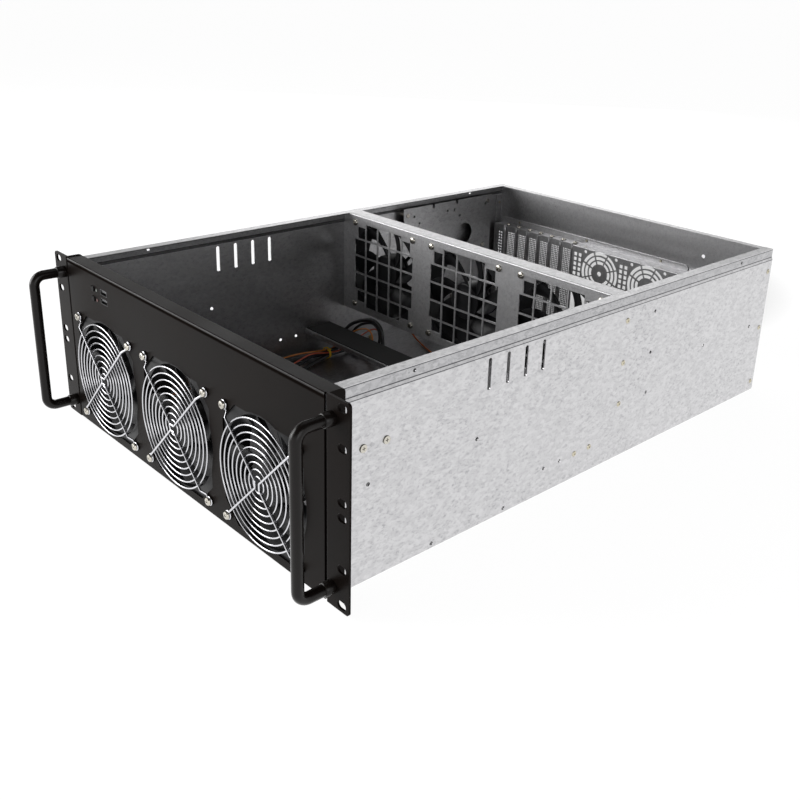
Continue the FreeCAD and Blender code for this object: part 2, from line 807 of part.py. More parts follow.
def slot_cover(x):
    """Blanking bracket: a strip in front of the slot and a notched tab on the shelf."""
    y0 = recess_y - cover_sheet
    half = cover_width / 2
    top = shelf_top + cover_sheet
    strip = box(x - half, x + half, y0, recess_y, cover_low, top)
    tab = box(x - half, x + half + 1.6, y0, recess_y + cover_tab, shelf_top, top)
    cover = join([strip, tab])
    fold = edges_along(cover, V(1, 0, 0), lambda p: abs(p.y - y0) < 1e-6 and abs(p.z - top) < 1e-6)
    cover = cover.makeFillet(cover_sheet * 0.8, fold)
    screw_x = x + cover_screw_shift
    y = cover_screw_y()
    notch = join([rod_z(screw_x, y, 2.0, shelf_top - 1, top + 1),
                  box(screw_x, screw_x + 6, y - 2.0, y + 2.0, shelf_top - 1, top + 1)])
    return cover.cut(notch)


def slot_cover_screws():
    screws = []
    seat = shelf_top + cover_sheet
    for x in slot_places():
        shank = rod_z(x + cover_screw_shift, cover_screw_y(), cover_screw / 2, seat - 5, seat)
        head = rod_z(x + cover_screw_shift, cover_screw_y(), cover_screw_head / 2, seat, seat + 1.9)
        screws.append(join([shank, head]))
    return screws


# ---------------------------------------------------------------- inner side plate
def side_plate():
    """Plate held off the left wall on spacers, with a sloping front lower edge."""
    x0 = side_plate_x
    front, rear = side_plate_front, side_plate_rear
    top = side_plate_top
    waist = front + side_plate_waist
    nose = top - 17
    shoulder = top - 31
    hip = top - 77
    outline = [(front, top), (rear, top), (rear, side_plate_bottom), (waist, side_plate_bottom),
               (waist, hip), (front + 14, shoulder), (front, nose)]
    plate = prism_x(outline, x0, x0 + sheet)
    corner = edges_along(plate, V(1, 0, 0), lambda p: abs(p.z - nose) < 1e-6 or abs(p.z - hip) < 1e-6)
    plate = plate.makeFillet(side_plate_round, corner)
    rear_fold = box(-wall_inside + fit_gap, x0 + sheet, rear - sheet, rear, side_plate_bottom, joggle_low - 4)
    plate = join([plate, rear_fold])
    out = 3
    cuts = [rod_x(front + 113.3, top - 49.5, side_plate_hole / 2, x0 - out, x0 + sheet + out)]
    for along in (53.6, 97.4):
        cuts.append(box(x0 - out, x0 + sheet + out, front + along - 2, front + along + 2, top - 5, top + 1))
    for along, down in ((18.2, 12), (28, 22.2), (79.7, 12.2), (92.7, 12.2), (103.6, 21.8), (154, 11.9)):
        cuts.append(rod_x(front + along, top - down, plate_hole / 2, x0 - out, x0 + sheet + out))
    for y, z in spacer_places():
        cuts.append(rod_x(y, z, rivet_shank / 2 + fit_gap, x0 - out, x0 + sheet + out))
    return plate.cut(cuts)


def spacer_places():
    front = side_plate_front
    top = side_plate_top
    return ((front + 7.1, top - 9.0), (front + 159.0, top - 8.4), (front + 151.8, top - 70.8),
            (front + 94.0, side_plate_bottom + 16.0))


def side_plate_spacers():
    pieces = []
    for y, z in spacer_places():
        body = rod_x(y, z, 3.0, -wall_inside, side_plate_x)
        pin = rod_x(y, z, rivet_shank / 2, side_plate_x, side_plate_x + sheet)
        head = rod_x(y, z, rivet_head / 2, side_plate_x + sheet, side_plate_x + sheet + rivet_head_height)
        pieces.append(join([body, pin, head]))
    return pieces


# ---------------------------------------------------------------- fasteners
def wall_rivet(y, z):
    head = rod_x(y, z, rivet_head / 2, half_width, half_width + rivet_head_height)
    shank = rod_x(y, z, rivet_shank / 2, wall_inside - sheet - 1.0, half_width)
    return join([head, shank])


def rivets():
    pieces = []
    for y, z in rivet_places():
        right = wall_rivet(y, z)
        pieces += [right, mirrored(right)]
    z = shelf_top + shelf_rivet_rise
    for x in shelf_rivets:
        shank = rod_y(x, z, rivet_shank / 2, case_depth - 2 * sheet - 1, case_depth)
        head = rod_y(x, z, rivet_head / 2, case_depth, case_depth + rivet_head_height)
        pieces.append(join([shank, head]))
    return pieces


def flank_screw_set():
    pieces = []
    for y in flank_screws:
        shank = rod_x(y, flank_screw_height, fan_screw / 2, wall_inside - 5, half_width)
        head = rod_x(y, flank_screw_height, 3.6, half_width, half_width + 1.0)
        right = join([shank, head])
        pieces += [right, mirrored(right)]
    return pieces


def motherboard_standoffs():
    pieces = []
    for across in standoff_columns:
        for down in standoff_rows:
            x = io_left + io_width + 4.0 - across
            y = recess_y - 4.0 - down
            post = rod_z(x, y, standoff_size / 2, sheet, sheet + standoff_height)
            pieces.append(post.cut(rod_z(x, y, standoff_thread / 2, sheet + 1, sheet + standoff_height + 1)))
    return pieces


# ---------------------------------------------------------------- front buttons and ports
def board_posts():
    inset = 3.5
    return [(x, z) for x in (board_left + inset, board_right - inset)
            for z in (board_bottom + inset, board_top - inset)]


def front_io_cuts():
    y0, y1 = -1, panel_sheet + 1
    cuts = []
    for z in usb_heights:
        w, h = usb_width / 2 + button_gap, usb_height / 2 + button_gap
        cuts.append(box(usb_x - w, usb_x + w, y0, y1, z - h, z + h))
    for z in button_heights:
        w, h = button_width / 2 + button_gap, button_height / 2 + button_gap
        cuts.append(box(button_x - w, button_x + w, y0, y1, z - h, z + h))
        cuts.append(rod_y(led_x, z, led_size / 2 + fit_gap, y0, y1))
    return cuts


def push_button(z):
    w, h = button_width / 2, button_height / 2
    cap = box(button_x - w, button_x + w, -button_proud, cap_end, z - h, z + h)
    rim = [edge for edge in cap.Edges if edge.BoundBox.YMax < -button_proud + 1e-6]
    cap = cap.makeFillet(0.5, rim)
    stem = box(button_x - stem_half, button_x + stem_half, cap_end, stem_end, z - stem_half, z + stem_half)
    return join([cap, stem])


def usb_port(z):
    """Metal shell, open at the front, around its tongue."""
    w, h = usb_width / 2, usb_height / 2
    inner = w - usb_wall
    shell = box(usb_x - w, usb_x + w, 0, usb_depth, z - h, z + h)
    mouth = box(usb_x - inner, usb_x + inner, -1, usb_depth - 2, z - h + usb_wall, z + h - usb_wall)
    tongue = box(usb_x - inner + 0.9, usb_x + inner - 0.9, 0.8, usb_depth - 2, z + 0.2, z + 1.8)
    return join([shell.cut(mouth), tongue])


def indicator(z):
    lamp = rod_y(led_x, z, led_size / 2, -0.4, led_length)
    foot = rod_y(led_x, z, led_size / 2 + 0.4, led_length - 1, led_length)
    legs = [box(led_x + dx - 0.25, led_x + dx + 0.25, led_length, board_y, z - 0.25, z + 0.25)
            for dx in (-0.8, 0.8)]
    return join([lamp, foot] + legs)


def front_io_board():
    board = box(board_left, board_right, board_y, board_y + board_sheet, board_bottom, board_top)
    front = stem_end + button_travel + button_gap
    switches = [box(button_x - switch_half, button_x + switch_half, front, board_y,
                    z - switch_half, z + switch_half)
                for z in button_heights]
    board = join([board] + switches)
    return board.cut([rod_y(x, z, board_stud / 2 + fit_gap, board_y - 1, board_y + 3)
                      for x, z in board_posts()])


def front_io_posts():
    """Studs on the back of the panel, with a collar that the board rests on."""
    posts = []
    for x, z in board_posts():
        posts.append(join([rod_y(x, z, board_stud, panel_sheet, board_y),
                           rod_y(x, z, board_stud / 2, board_y, board_y + 3.5)]))
    return posts


# ---------------------------------------------------------------- wiring
# Each cable's route, from where it leaves a fan frame to its plug.
front_rear = panel_sheet + fan_depth
mid_rear = mid_fan_y + fan_depth
cable_routes = {
    "harness_cable_1": [(-172, front_rear, 12), (-172, 48, 12), (-173.5, 76, 7.5), (-177, 112, 4.0),
                        (-185, 156, 3.9), (-191, 204, 3.9), (-196, 246, 3.9), (-190, 280, 4.9),
                        (-181.7, 304, 7.3), (-186.5, 324, 6.3), (-196, 338, 12), (-196.5, 345, 26),
                        (-183, 346, 38), (-164, 345, 47), (-143, 344, 54.5), (-128.5, 343, 52.5),
                        (-120, 342, 42.5), (-119.5, 341.5, 29.5), (-115.5, 342, 17), (-107, 343, 8.5),
                        (-95, 343.5, 4.8), (-80, 343.5, 4.8)],
    "harness_cable_2": [(-46, front_rear, 12), (-46, 46, 12), (-52, 72, 6), (-70, 106, 3.4),
                        (-100, 142, 3.4), (-132, 178, 3.4), (-160, 216, 3.4), (-177, 254, 4.4),
                        (-180.8, 284, 10.2), (-179.6, 308, 10.8), (-181, 327, 12), (-184, 341, 19),
                        (-179, 346, 31), (-168, 346, 40), (-154.5, 346, 46.5), (-142, 345.5, 49.5),
                        (-131.5, 345, 45.5), (-127, 344, 36), (-128.5, 343.5, 25.5), (-134, 343.5, 16),
                        (-142, 344, 9), (-152, 344.5, 5.0), (-162, 344.5, 5.0)],
    "harness_cable_3": [(92, front_rear, 12), (92, 48, 12), (86, 80, 6), (64, 116, 3.9),
                        (22, 152, 3.9), (-34, 178, 3.9), (-88, 195, 3.9), (-134, 214, 3.9),
                        (-159, 238, 3.9), (-168, 268, 4.8), (-177.1, 302, 7.0), (-180, 326, 5.4),
                        (-184.5, 347, 4.8), (-189, 364, 4.8)],
    "harness_wire_1": [(-190, front_rear, 12), (-190, 44, 12), (-193, 70, 6.5), (-198, 106, 2.5),
                       (-203, 146, 2.5), (-205, 186, 2.5), (-204, 222, 4.5), (-199.5, 252, 8.6),
                       (-194.5, 276, 10.4), (-184.1, 300, 10.9), (-184.5, 318, 10.6), (-187.5, 331, 15.5),
                       (-181.5, 339.5, 25), (-170, 342, 33), (-158, 341.5, 38.5), (-147, 340.8, 41.5),
                       (-137.5, 340, 38), (-134.5, 339, 29), (-136, 338.5, 18.5), (-141, 339.3, 9.5),
                       (-151, 340.5, 5.0), (-162, 340.5, 5.0)],
    "harness_wire_2": [(-62, front_rear, 12), (-62, 42, 12), (-68, 62, 6), (-86, 90, 2.5),
                       (-113, 123, 2.5), (-143, 154, 2.5), (-164, 190, 2.5), (-174, 226, 4.4),
                       (-178, 256, 9.4), (-179.5, 279, 14.4), (-176.4, 300, 10.2), (-172, 317, 10.5),
                       (-170.5, 331, 16), (-167, 342, 24), (-158.5, 348, 32), (-148.5, 350, 39),
                       (-138.5, 350, 41), (-131.5, 350, 35.5), (-130, 350, 26), (-133, 349.5, 16.5),
                       (-140, 348.5, 9), (-151, 348.5, 5.0), (-162, 348.5, 5.0)],
    "fan_wall_wire": [(-170, mid_rear, 60), (-170, 391, 60), (-172, 403, 54), (-175, 414, 43),
                      (-175, 424, 28), (-169, 432, 13), (-155, 431, 4.2), (-138, 426, 2.8),
                      (-119, 419, 2.7), (-100, 413.5, 2.9), (-81, 410, 4.6), (-63, 410, 4.6)],
}
cable_sizes = {"harness_cable_1": 4.6, "harness_cable_2": 3.6, "harness_cable_3": 4.6,
               "harness_wire_1": 2.0, "harness_wire_2": 2.0, "fan_wall_wire": 2.2}
arc_share = 0.45             # of the shorter run, used up by each bend
plug_length = 15.0
plug_width = 8.0
plug_height = 6.0
shared_plug_width = 13.0
tie_x = -180.0
tie_y = 303.0
tie_radius = 6.5             # inside the tie
tie_thick = 0.9
tie_wide = 2.4
tie_lift = 0.3               # over the floor


def cable(name):
    """Straight runs joined by tangent arcs, swept with a round section."""
    route = [V(*point) for point in cable_routes[name]]
    radius = cable_sizes[name] / 2
    edges = []
    start = route[0]
    smallest = 1e9
    for before, corner, after in zip(route, route[1:], route[2:]):
        back = before - corner
        ahead = after - corner
        setback = arc_share * min(back.Length, ahead.Length)
        half_turn = (math.pi - back.getAngle(ahead)) / 2
        bend = setback / math.tan(half_turn)
        smallest = min(smallest, bend)
        back.normalize()
        ahead.normalize()
        entry = corner + back * setback
        leave = corner + ahead * setback
        inward = back + ahead
        inward.normalize()
        middle = corner + inward * (bend / math.cos(half_turn) - bend)
        edges.append(Part.makeLine(start, entry))
        edges.append(Part.Arc(entry, middle, leave).toShape())
        start = leave
    edges.append(Part.makeLine(start, route[-1]))
    path = Part.Wire(edges)
    section = Part.Wire(Part.makeCircle(radius, route[0], route[1] - route[0]))
    tube = path.makePipeShell([section], True, False)
    share = tube.Volume / (math.pi * radius * radius * path.Length)
    print("%s: length %.1f, smallest bend %.1f, volume over section times length %.4f"
          % (name, path.Length, smallest, share))
    return tube


def plug(name, width):
    """Housing whose end face meets the end of a cable, in line with its last run."""
    end, before = [V(*point) for point in reversed(cable_routes[name][-2:])]
    way = end - before
    body = box(0, plug_length, -width / 2, width / 2, -plug_height / 2, plug_height / 2)
    body = body.makeFillet(0.8, edges_along(body, V(1, 0, 0), lambda p: True))
    body.Placement = FreeCAD.Placement(end, FreeCAD.Rotation(V(1, 0, 0), way))
    return body


def harness_plugs():
    return [plug("harness_cable_1", plug_width), plug("harness_cable_2", shared_plug_width),
            plug("harness_cable_3", plug_width), plug("fan_wall_wire", plug_width)]


def harness_tie():
    """Flat band round the cables, just in front of the crossbar's middle."""
    outside = tie_radius + tie_thick
    z = sheet + tie_lift + outside
    band = rod_y(tie_x, z, outside, tie_y - tie_wide / 2, tie_y + tie_wide / 2)
    return band.cut(rod_y(tie_x, z, tie_radius, tie_y - tie_wide, tie_y + tie_wide))


# ---------------------------------------------------------------- write the pieces
def main():
    os.makedirs("parts", exist_ok=True)
    export("chassis_tub", chassis_tub())
    export("front_panel", front_panel())
    ear = rack_ear()
    export("right_rack_ear", ear)
    export("left_rack_ear", mirrored(ear))
    grip = handle()
    export("right_handle", grip)
    export("left_handle", mirrored(grip))
    export("handle_screws", handle_screws())
    eyelet = guard_leg_wire * guard_section * 2
    for i, x in enumerate(front_fan_places(), 1):
        export("front_fan_%d_frame" % i, fan_frame(x, front_fan_height, panel_sheet))
        export("front_fan_%d_rotor" % i, fan_rotor(x, front_fan_height, panel_sheet))
        export("fan_guard_%d" % i, fan_guard(x, front_fan_height, i == 3))
    export("front_fan_screws",
           fan_screws(front_fan_places(), front_fan_height, -eyelet, eyelet + panel_sheet + 9))
    export("mid_fan_wall", mid_fan_wall())
    for i, x in enumerate(mid_fan_places(), 1):
        export("mid_fan_%d_frame" % i, fan_frame(x, mid_fan_height, mid_fan_y))
        export("mid_fan_%d_rotor" % i, fan_rotor(x, mid_fan_height, mid_fan_y))
    export("mid_fan_screws", fan_screws(mid_fan_places(), mid_fan_height, mid_wall_y, sheet + 9))
    export("crossbar", crossbar())
    export("crossbar_pad", crossbar_pad())
    export("rear_wall", rear_wall())
    export("rear_io_panel", rear_io_panel())
    for i, x in enumerate(slot_places(), 1):
        export("slot_cover_%d" % i, slot_cover(x))
    export("slot_cover_screws", slot_cover_screws())
    export("side_plate", side_plate())
    export("side_plate_spacers", side_plate_spacers())
    export("rivets", rivets())
    export("flank_screws", flank_screw_set())
    export("motherboard_standoffs", motherboard_standoffs())
    export("power_button", push_button(button_heights[0]))
    export("reset_button", push_button(button_heights[1]))
    export("usb_port_upper", usb_port(usb_heights[0]))
    export("usb_port_lower", usb_port(usb_heights[1]))
    export("power_led", indicator(button_heights[0]))
    export("drive_led", indicator(button_heights[1]))
    export("front_io_board", front_io_board())
    export("front_io_posts", front_io_posts())
    for name in cable_routes:
        export(name, cable(name))
    export("harness_plugs", harness_plugs())
    export("harness_tie", harness_tie())


main()
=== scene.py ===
"""Dresses the empty rackmount server case: finishes, round guard wires, screw and rivet heads,
perforated slot covers, fan wiring, lights and camera.

All lengths are metres.  Y grows from the front panel to the rear and Z is up.
"""
import json
import math

import bmesh
import bpy
from bpy.props import FloatProperty, FloatVectorProperty, IntProperty, PointerProperty
from mathutils import Matrix, Vector


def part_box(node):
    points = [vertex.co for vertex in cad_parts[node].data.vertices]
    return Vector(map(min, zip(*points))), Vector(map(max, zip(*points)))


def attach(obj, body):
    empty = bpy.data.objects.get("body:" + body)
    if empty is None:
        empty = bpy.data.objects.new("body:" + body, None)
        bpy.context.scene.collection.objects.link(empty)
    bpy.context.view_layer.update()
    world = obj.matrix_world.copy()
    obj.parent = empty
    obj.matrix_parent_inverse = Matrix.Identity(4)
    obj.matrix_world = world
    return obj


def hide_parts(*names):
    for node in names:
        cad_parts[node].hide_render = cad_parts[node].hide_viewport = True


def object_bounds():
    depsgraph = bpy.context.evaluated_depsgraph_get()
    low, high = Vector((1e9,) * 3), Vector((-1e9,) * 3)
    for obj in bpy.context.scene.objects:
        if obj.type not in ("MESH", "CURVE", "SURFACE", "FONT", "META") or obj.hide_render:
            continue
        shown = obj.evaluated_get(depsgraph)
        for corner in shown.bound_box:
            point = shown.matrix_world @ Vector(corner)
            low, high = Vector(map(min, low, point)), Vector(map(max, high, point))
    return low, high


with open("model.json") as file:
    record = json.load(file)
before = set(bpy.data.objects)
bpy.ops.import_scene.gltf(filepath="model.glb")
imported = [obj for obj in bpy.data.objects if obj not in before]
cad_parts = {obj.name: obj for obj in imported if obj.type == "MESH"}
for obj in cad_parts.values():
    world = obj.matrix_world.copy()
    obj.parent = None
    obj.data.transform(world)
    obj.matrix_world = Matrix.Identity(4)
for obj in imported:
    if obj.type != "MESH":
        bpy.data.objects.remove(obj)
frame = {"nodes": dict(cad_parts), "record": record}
CAD_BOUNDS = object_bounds()

bl_info = {
    "name": "Server Case Dressing",
    "version": (1, 0, 0),
    "blender": (4, 5, 0),
    "location": "View3D > Sidebar > Server Case",
    "description": "Finishes and fine pieces for an empty rackmount server case",
    "category": "Object",
}

ROOT = "case"
MM = 0.001
EAR_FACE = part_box("left_rack_ear")[0].y
SLOT_COVERS = sorted(n for n in frame["nodes"] if n.startswith("slot_cover_") and n[-1].isdigit())


# ---------------------------------------------------------------- properties
def length(name, description, default):
    return FloatProperty(name=name, description=description, default=default, min=0.0,
                         subtype="DISTANCE", unit="LENGTH")


def colour(name, description, default):
    return FloatVectorProperty(name=name, description=description, default=default, min=0.0,
                               max=1.0, size=3, subtype="COLOR")


def share(name, description, default):
    return FloatProperty(name=name, description=description, default=default, min=0.0, max=1.0,
                         subtype="FACTOR")


def amount(name, description, default, unit="NONE"):
    return FloatProperty(name=name, description=description, default=default, min=0.0, unit=unit)


def angle(name, description, degrees):
    return FloatProperty(name=name, description=description, default=math.radians(degrees), subtype="ANGLE")


def count(name, description, default):
    return IntProperty(name=name, description=description, default=default, min=1)


class CaseFinishes(bpy.types.PropertyGroup):
    zinc: colour("Zinc", "Colour of the galvanised sheet", (0.42, 0.417, 0.424))
    zinc_dark: colour("Zinc Flecks", "Colour of the darker crystals in the zinc", (0.235, 0.235, 0.242))
    zinc_roughness: share("Zinc Roughness", "How dull the galvanised sheet is", 0.36)
    band: share("Band Dullness", "How dark the band below the top bend is", 0.50)
    inner_metallic: share("Inner Metallic", "How metallic the fan wall and the rear plate look", 0.72)
    crystal: length("Crystal Size", "Width of one zinc crystal", 0.0030)
    # Painted shade: colour and width of the dark line drawn along each sharp bend of the tub.
    crease_shade: colour("Crease", "Colour of the dull line along a sharp bend", (0.06, 0.06, 0.065))
    crease_shade_width: length("Bend Line", "Width of the dull line along a sharp bend", 0.0008)
    paint: colour("Paint", "Colour of the powder coat", (0.0036, 0.0026, 0.0022))
    paint_roughness: share("Paint Roughness", "How dull the powder coat is", 0.36)
    plastic: colour("Fan Plastic", "Colour of the fan mouldings", (0.006, 0.006, 0.0065))
    pad: colour("Pad", "Colour of the rubber strip on the crossbar", (0.030, 0.030, 0.030))
    chrome: colour("Chrome", "Colour of the guard wires", (0.50, 0.50, 0.52))
    nickel: colour("Nickel", "Colour of the screws", (0.42, 0.40, 0.355))
    rivet: colour("Rivets", "Colour of the yellow plated rivets", (0.40, 0.37, 0.29))


class CaseHandles(bpy.types.PropertyGroup):
    rod: length("Rod", "Thickness of the handle's rod", 0.010)
    bend: length("Bend", "Radius of the bends at the middle of the rod", 0.010)
    collar_length: length("Collar Length", "Length of the collar at each foot", 0.009)
    collar_edge: length("Collar Edge", "Size of the bevel on a collar's outer edge", 0.0008)


class CaseGuards(bpy.types.PropertyGroup):
    outer: length("Outer Ring", "Radius of the outermost ring", 0.057)
    pitch: length("Ring Pitch", "Radial distance between two rings", 0.0062)
    rings: count("Rings", "Number of rings in a guard", 9)
    ring_wire: length("Ring Wire", "Thickness of the ring wire", 0.0016)
    leg_wire: length("Leg Wire", "Thickness of the leg wire", 0.0020)
    leg_stand: length("Leg Stand-off", "Panel face to the middle of a leg wire", 0.0050)
    hole_span: length("Screw Span", "Distance between two screw holes of a fan", 0.105)
    eyelet: length("Eyelet", "Radius of the loop round a screw", 0.0036)
    apex: length("Apex Gap", "Half the gap between the two leg wires at the middle", 0.0030)
    foot: length("Foot", "Straight piece of a leg beside its loop", 0.0020)
    rise: length("Rise", "Length of a leg's slope, seen from the front", 0.0035)
    leg_bend: length("Leg Bend", "Radius of the bends in a leg", 0.0015)


class CaseFasteners(bpy.types.PropertyGroup):
    fan_head: length("Fan Screw Head", "Radius of a fan screw's head", 0.0039)
    fan_height: length("Fan Screw Height", "Height of a fan screw's head", 0.0024)
    plain_head: length("Plain Screw Head", "Height of a fan screw's head in the plain model", 0.0022)
    eyelet_seat: length("Eyelet Seat", "From the ears' face out to the seat of a front fan's screw", 0.0022)
    shank: length("Shank", "Radius of a fan or side screw's shank", 0.002)
    flank_head: length("Side Screw Head", "Radius of the flat side screws", 0.0036)
    flank_height: length("Side Screw Height", "Height of a flat side screw's head", 0.0010)
    flank_shank: length("Side Screw Shank", "Length of a side screw's shank", 0.0062)
    cover_head: length("Cover Screw Head", "Radius of a slot cover screw's head", 0.0030)
    cover_height: length("Cover Screw Height", "Height of a slot cover screw's head", 0.0019)
    cover_shank: length("Cover Screw Shank", "Length of a slot cover screw's shank", 0.005)
    rivet_head: length("Rivet Head", "Radius of a rivet's head", 0.0030)
    rivet_height: length("Rivet Height", "Height of a rivet's head", 0.0009)
    rivet_shank: length("Rivet Shank", "Radius of a rivet's shank", 0.0016)


class CaseGrid(bpy.types.PropertyGroup):
    cells: count("Cells", "Square holes across one grid of the fan wall", 5)
    pitch: length("Cell Pitch", "Distance between two holes of a grid", 0.0219)
    cad_bar: length("Plain Bar", "Width of a grid's bar in the plain model", 0.0035)
    bar: length("Bar", "Width of a grid's bar", 0.0021)


class CaseCovers(bpy.types.PropertyGroup):
    hole: length("Hole", "Radius of one hole in a slot cover", 0.00090)
    pitch: length("Hole Pitch", "Distance between two holes in a slot cover", 0.0027)
    columns: count("Columns", "Holes across a slot cover", 5)
    first_hole: length("First Hole", "Radius of one hole in the first slot cover", 0.0014)
    first_pitch: length("First Hole Pitch", "Distance between two holes in the first slot cover", 0.0042)
    first_columns: count("First Columns", "Holes across the first slot cover", 2)
    sheet: length("Sheet", "Thickness of a slot cover", 0.0009)
    margin: length("Margin", "Plain part at each end of a slot cover", 0.006)
    side_tab: length("Side Tab", "How far the tab reaches past the strip on the right", 0.0016)
    notch: length("Notch", "Width of the screw's notch in the tab", 0.0040)
    notch_depth: length("Notch Depth", "Depth of the screw's notch from the tab's right edge", 0.0050)


class CaseWiring(bpy.types.PropertyGroup):
    sleeve: colour("Sleeve", "Colour of the black cables", (0.008, 0.008, 0.009))
    first_wire: colour("First Wire", "Colour of the first bare wire", (0.55, 0.19, 0.035))
    second_wire: colour("Second Wire", "Colour of the second bare wire", (0.47, 0.10, 0.055))
    rear_wire: colour("Rear Wire", "Colour of the wire behind the fan wall", (0.38, 0.09, 0.02))
    tie: colour("Tie", "Colour of the cable tie", (0.75, 0.47, 0.02))


class CaseStage(bpy.types.PropertyGroup):
    floor: colour("Floor", "Colour of the floor", (0.62, 0.62, 0.62))
    floor_radius: length("Floor Radius", "Size of the round floor", 45.0)
    shadow: share("Shadow", "How strongly the floor shows shadows", 0.22)
    rear_shadow: share("Rear Shadow", "How strongly the floor just behind the case shows shadows", 0.75)
    glow: amount("Glow", "Strength of the floor's own white", 1.20)
    bounce: amount("Bounce", "Strength of the floor's white in the metal's reflections", 1.65)
    backdrop: amount("Backdrop", "Strength of the light from all sides", 1.65)
    ceiling: amount("Ceiling", "Strength of the light from overhead", 0.08)
    key_power: amount("Key Power", "Strength of the key lamp", 11.0, "POWER")
    front_power: amount("Front Power", "Strength of the lamp at the front left", 72.0, "POWER")
    back_power: amount("Back Power", "Strength of the lamp behind the case", 8.5, "POWER")
    top_power: amount("Top Power", "Strength of the lamp overhead", 4.0, "POWER")
    lens: FloatProperty(name="Lens", description="Focal length of the camera in millimetres",
                        default=43.73, min=1.0)
    shift_x: FloatProperty(name="Shift X", description="Sideways shift of the camera", default=-0.0463)
    shift_y: FloatProperty(name="Shift Y", description="Upward shift of the camera", default=-0.0899)
    height: length("Camera Height", "Height of the camera over the floor", 0.46429)
    aside: length("Camera Aside", "Camera's distance to the right of the case's middle", 0.71987)
    ahead: length("Camera Ahead", "Camera's distance in front of the ears", 0.38667)
    yaw: angle("Yaw", "Turn of the camera to the left", 45.643)
    pitch: angle("Pitch", "Downward tilt of the camera", 20.327)
    roll: angle("Roll", "Roll of the camera", 2.282)


SETTINGS = {
    "case_finishes": CaseFinishes,
    "case_handles": CaseHandles,
    "case_guards": CaseGuards,
    "case_fasteners": CaseFasteners,
    "case_grid": CaseGrid,
    "case_covers": CaseCovers,
    "case_wiring": CaseWiring,
    "case_stage": CaseStage,
}


# ---------------------------------------------------------------- node helpers
# Sockets of a Mix node that blends colours, which share their names with hidden ones.
MIX_FACTOR, MIX_FIRST, MIX_SECOND, MIX_RESULT = 0, 6, 7, 2


def is_socket(value):
    return isinstance(value, bpy.types.NodeSocket)


def feed(tree, node, inputs):
    """Links or sets a node's inputs, given by name or number, from sockets or plain values."""
    for name, value in inputs.items():
        if is_socket(value):
            tree.links.new(value, node.inputs[name])
        else:
            node.inputs[name].default_value = value


def add(tree, kind, inputs=None, **settings):
    """A new node of that kind with its settings and inputs."""
    node = tree.nodes.new(kind)
    for key, value in settings.items():
        setattr(node, key, value)
    feed(tree, node, inputs or {})
    return node


def maths(tree, operation, first, second=0.0):
    return add(tree, "ShaderNodeMath", {0: first, 1: second}, operation=operation).outputs[0]


def ramp(tree, source, low, high, to_low=0.0, to_high=1.0):
    """Maps a value's range low..high to another range, held at its ends."""
    values = {"Value": source, "From Min": low, "From Max": high, "To Min": to_low, "To Max": to_high}
    return add(tree, "ShaderNodeMapRange", values, clamp=True).outputs["Result"]


def noise(tree, vector, scale, detail=2.0, distortion=0.0):
    values = {"Vector": vector, "Scale": scale, "Detail": detail, "Distortion": distortion}
    return add(tree, "ShaderNodeTexNoise", values).outputs["Fac"]


def upright(tree, place):
    """Height of a point."""
    return add(tree, "ShaderNodeSeparateXYZ", {"Vector": place}).outputs["Z"]


def blend_colours(tree, factor, first, second):
    """Blends two colours, each a socket or three plain numbers."""
    first, second = (c if is_socket(c) else (*c, 1.0) for c in (first, second))
    values = {MIX_FACTOR: factor, MIX_FIRST: first, MIX_SECOND: second}
    return add(tree, "ShaderNodeMix", values, data_type="RGBA").outputs[MIX_RESULT]


def bump(tree, shader, height, strength, distance):
    node = add(tree, "ShaderNodeBump", {"Height": height, "Strength": strength, "Distance": distance})
    tree.links.new(node.outputs["Normal"], shader.inputs["Normal"])


def start_material(name):
    material = bpy.data.materials.new(name)
    material.use_nodes = True
    tree = material.node_tree
    place = add(tree, "ShaderNodeTexCoord")
    return material, tree, tree.nodes["Principled BSDF"], place.outputs["Object"]


# ---------------------------------------------------------------- shared patterns
def zinc_crystals(tree, place, scale):
    """Mottled crystals of hot-dip zinc: cells of uneven brightness and thin darker flecks."""
    lean = add(tree, "ShaderNodeMapping", {
        "Vector": place, "Rotation": (math.radians(35), math.radians(20), math.radians(25)),
        "Scale": (1.0, 0.55, 1.0)}).outputs["Vector"]
    cells = add(tree, "ShaderNodeTexVoronoi", feature="SMOOTH_F1")
    feed(tree, cells, {"Vector": lean, "Scale": scale, "Smoothness": 0.25})
    split = add(tree, "ShaderNodeSeparateColor", {"Color": cells.outputs["Color"]})
    flecks = noise(tree, lean, maths(tree, "MULTIPLY", scale, 1.55), 3.0, 0.7)
    thin = ramp(tree, flecks, 0.50, 0.74)
    patchy = ramp(tree, noise(tree, place, 26.0), 0.35, 0.65, 0.55, 1.0)
    crystal = maths(tree, "MULTIPLY", split.outputs["Red"], 0.34)
    dark = maths(tree, "MULTIPLY", thin, patchy)
    both = maths(tree, "ADD", crystal, maths(tree, "MULTIPLY", dark, 0.70))
    height = maths(tree, "ADD", maths(tree, "MULTIPLY", cells.outputs["Distance"], 0.5),
                   maths(tree, "MULTIPLY", flecks, 0.35))
    return {"Mask": ramp(tree, both, 0.0, 1.0), "Height": height}


def fine_grain(tree, place, scale):
    """Small even bumps, as on powder coat and moulded plastic, with soft dull patches."""
    patches = noise(tree, place, 18.0, 3.0)
    return {"Height": noise(tree, place, scale), "Dullness": ramp(tree, patches, 0.3, 0.7)}


def handling_marks(tree, place, scale):
    """Faint wipe marks: long thin streaks that run level, broken up by larger patches."""
    squeeze = add(tree, "ShaderNodeMapping", {"Vector": place, "Scale": (0.16, 0.16, 2.2)})
    streaks = noise(tree, squeeze.outputs["Vector"], scale, 4.0)
    patch = ramp(tree, noise(tree, place, 7.0), 0.3, 0.7)
    return {"Mask": maths(tree, "MULTIPLY", ramp(tree, streaks, 0.42, 0.66), patch)}


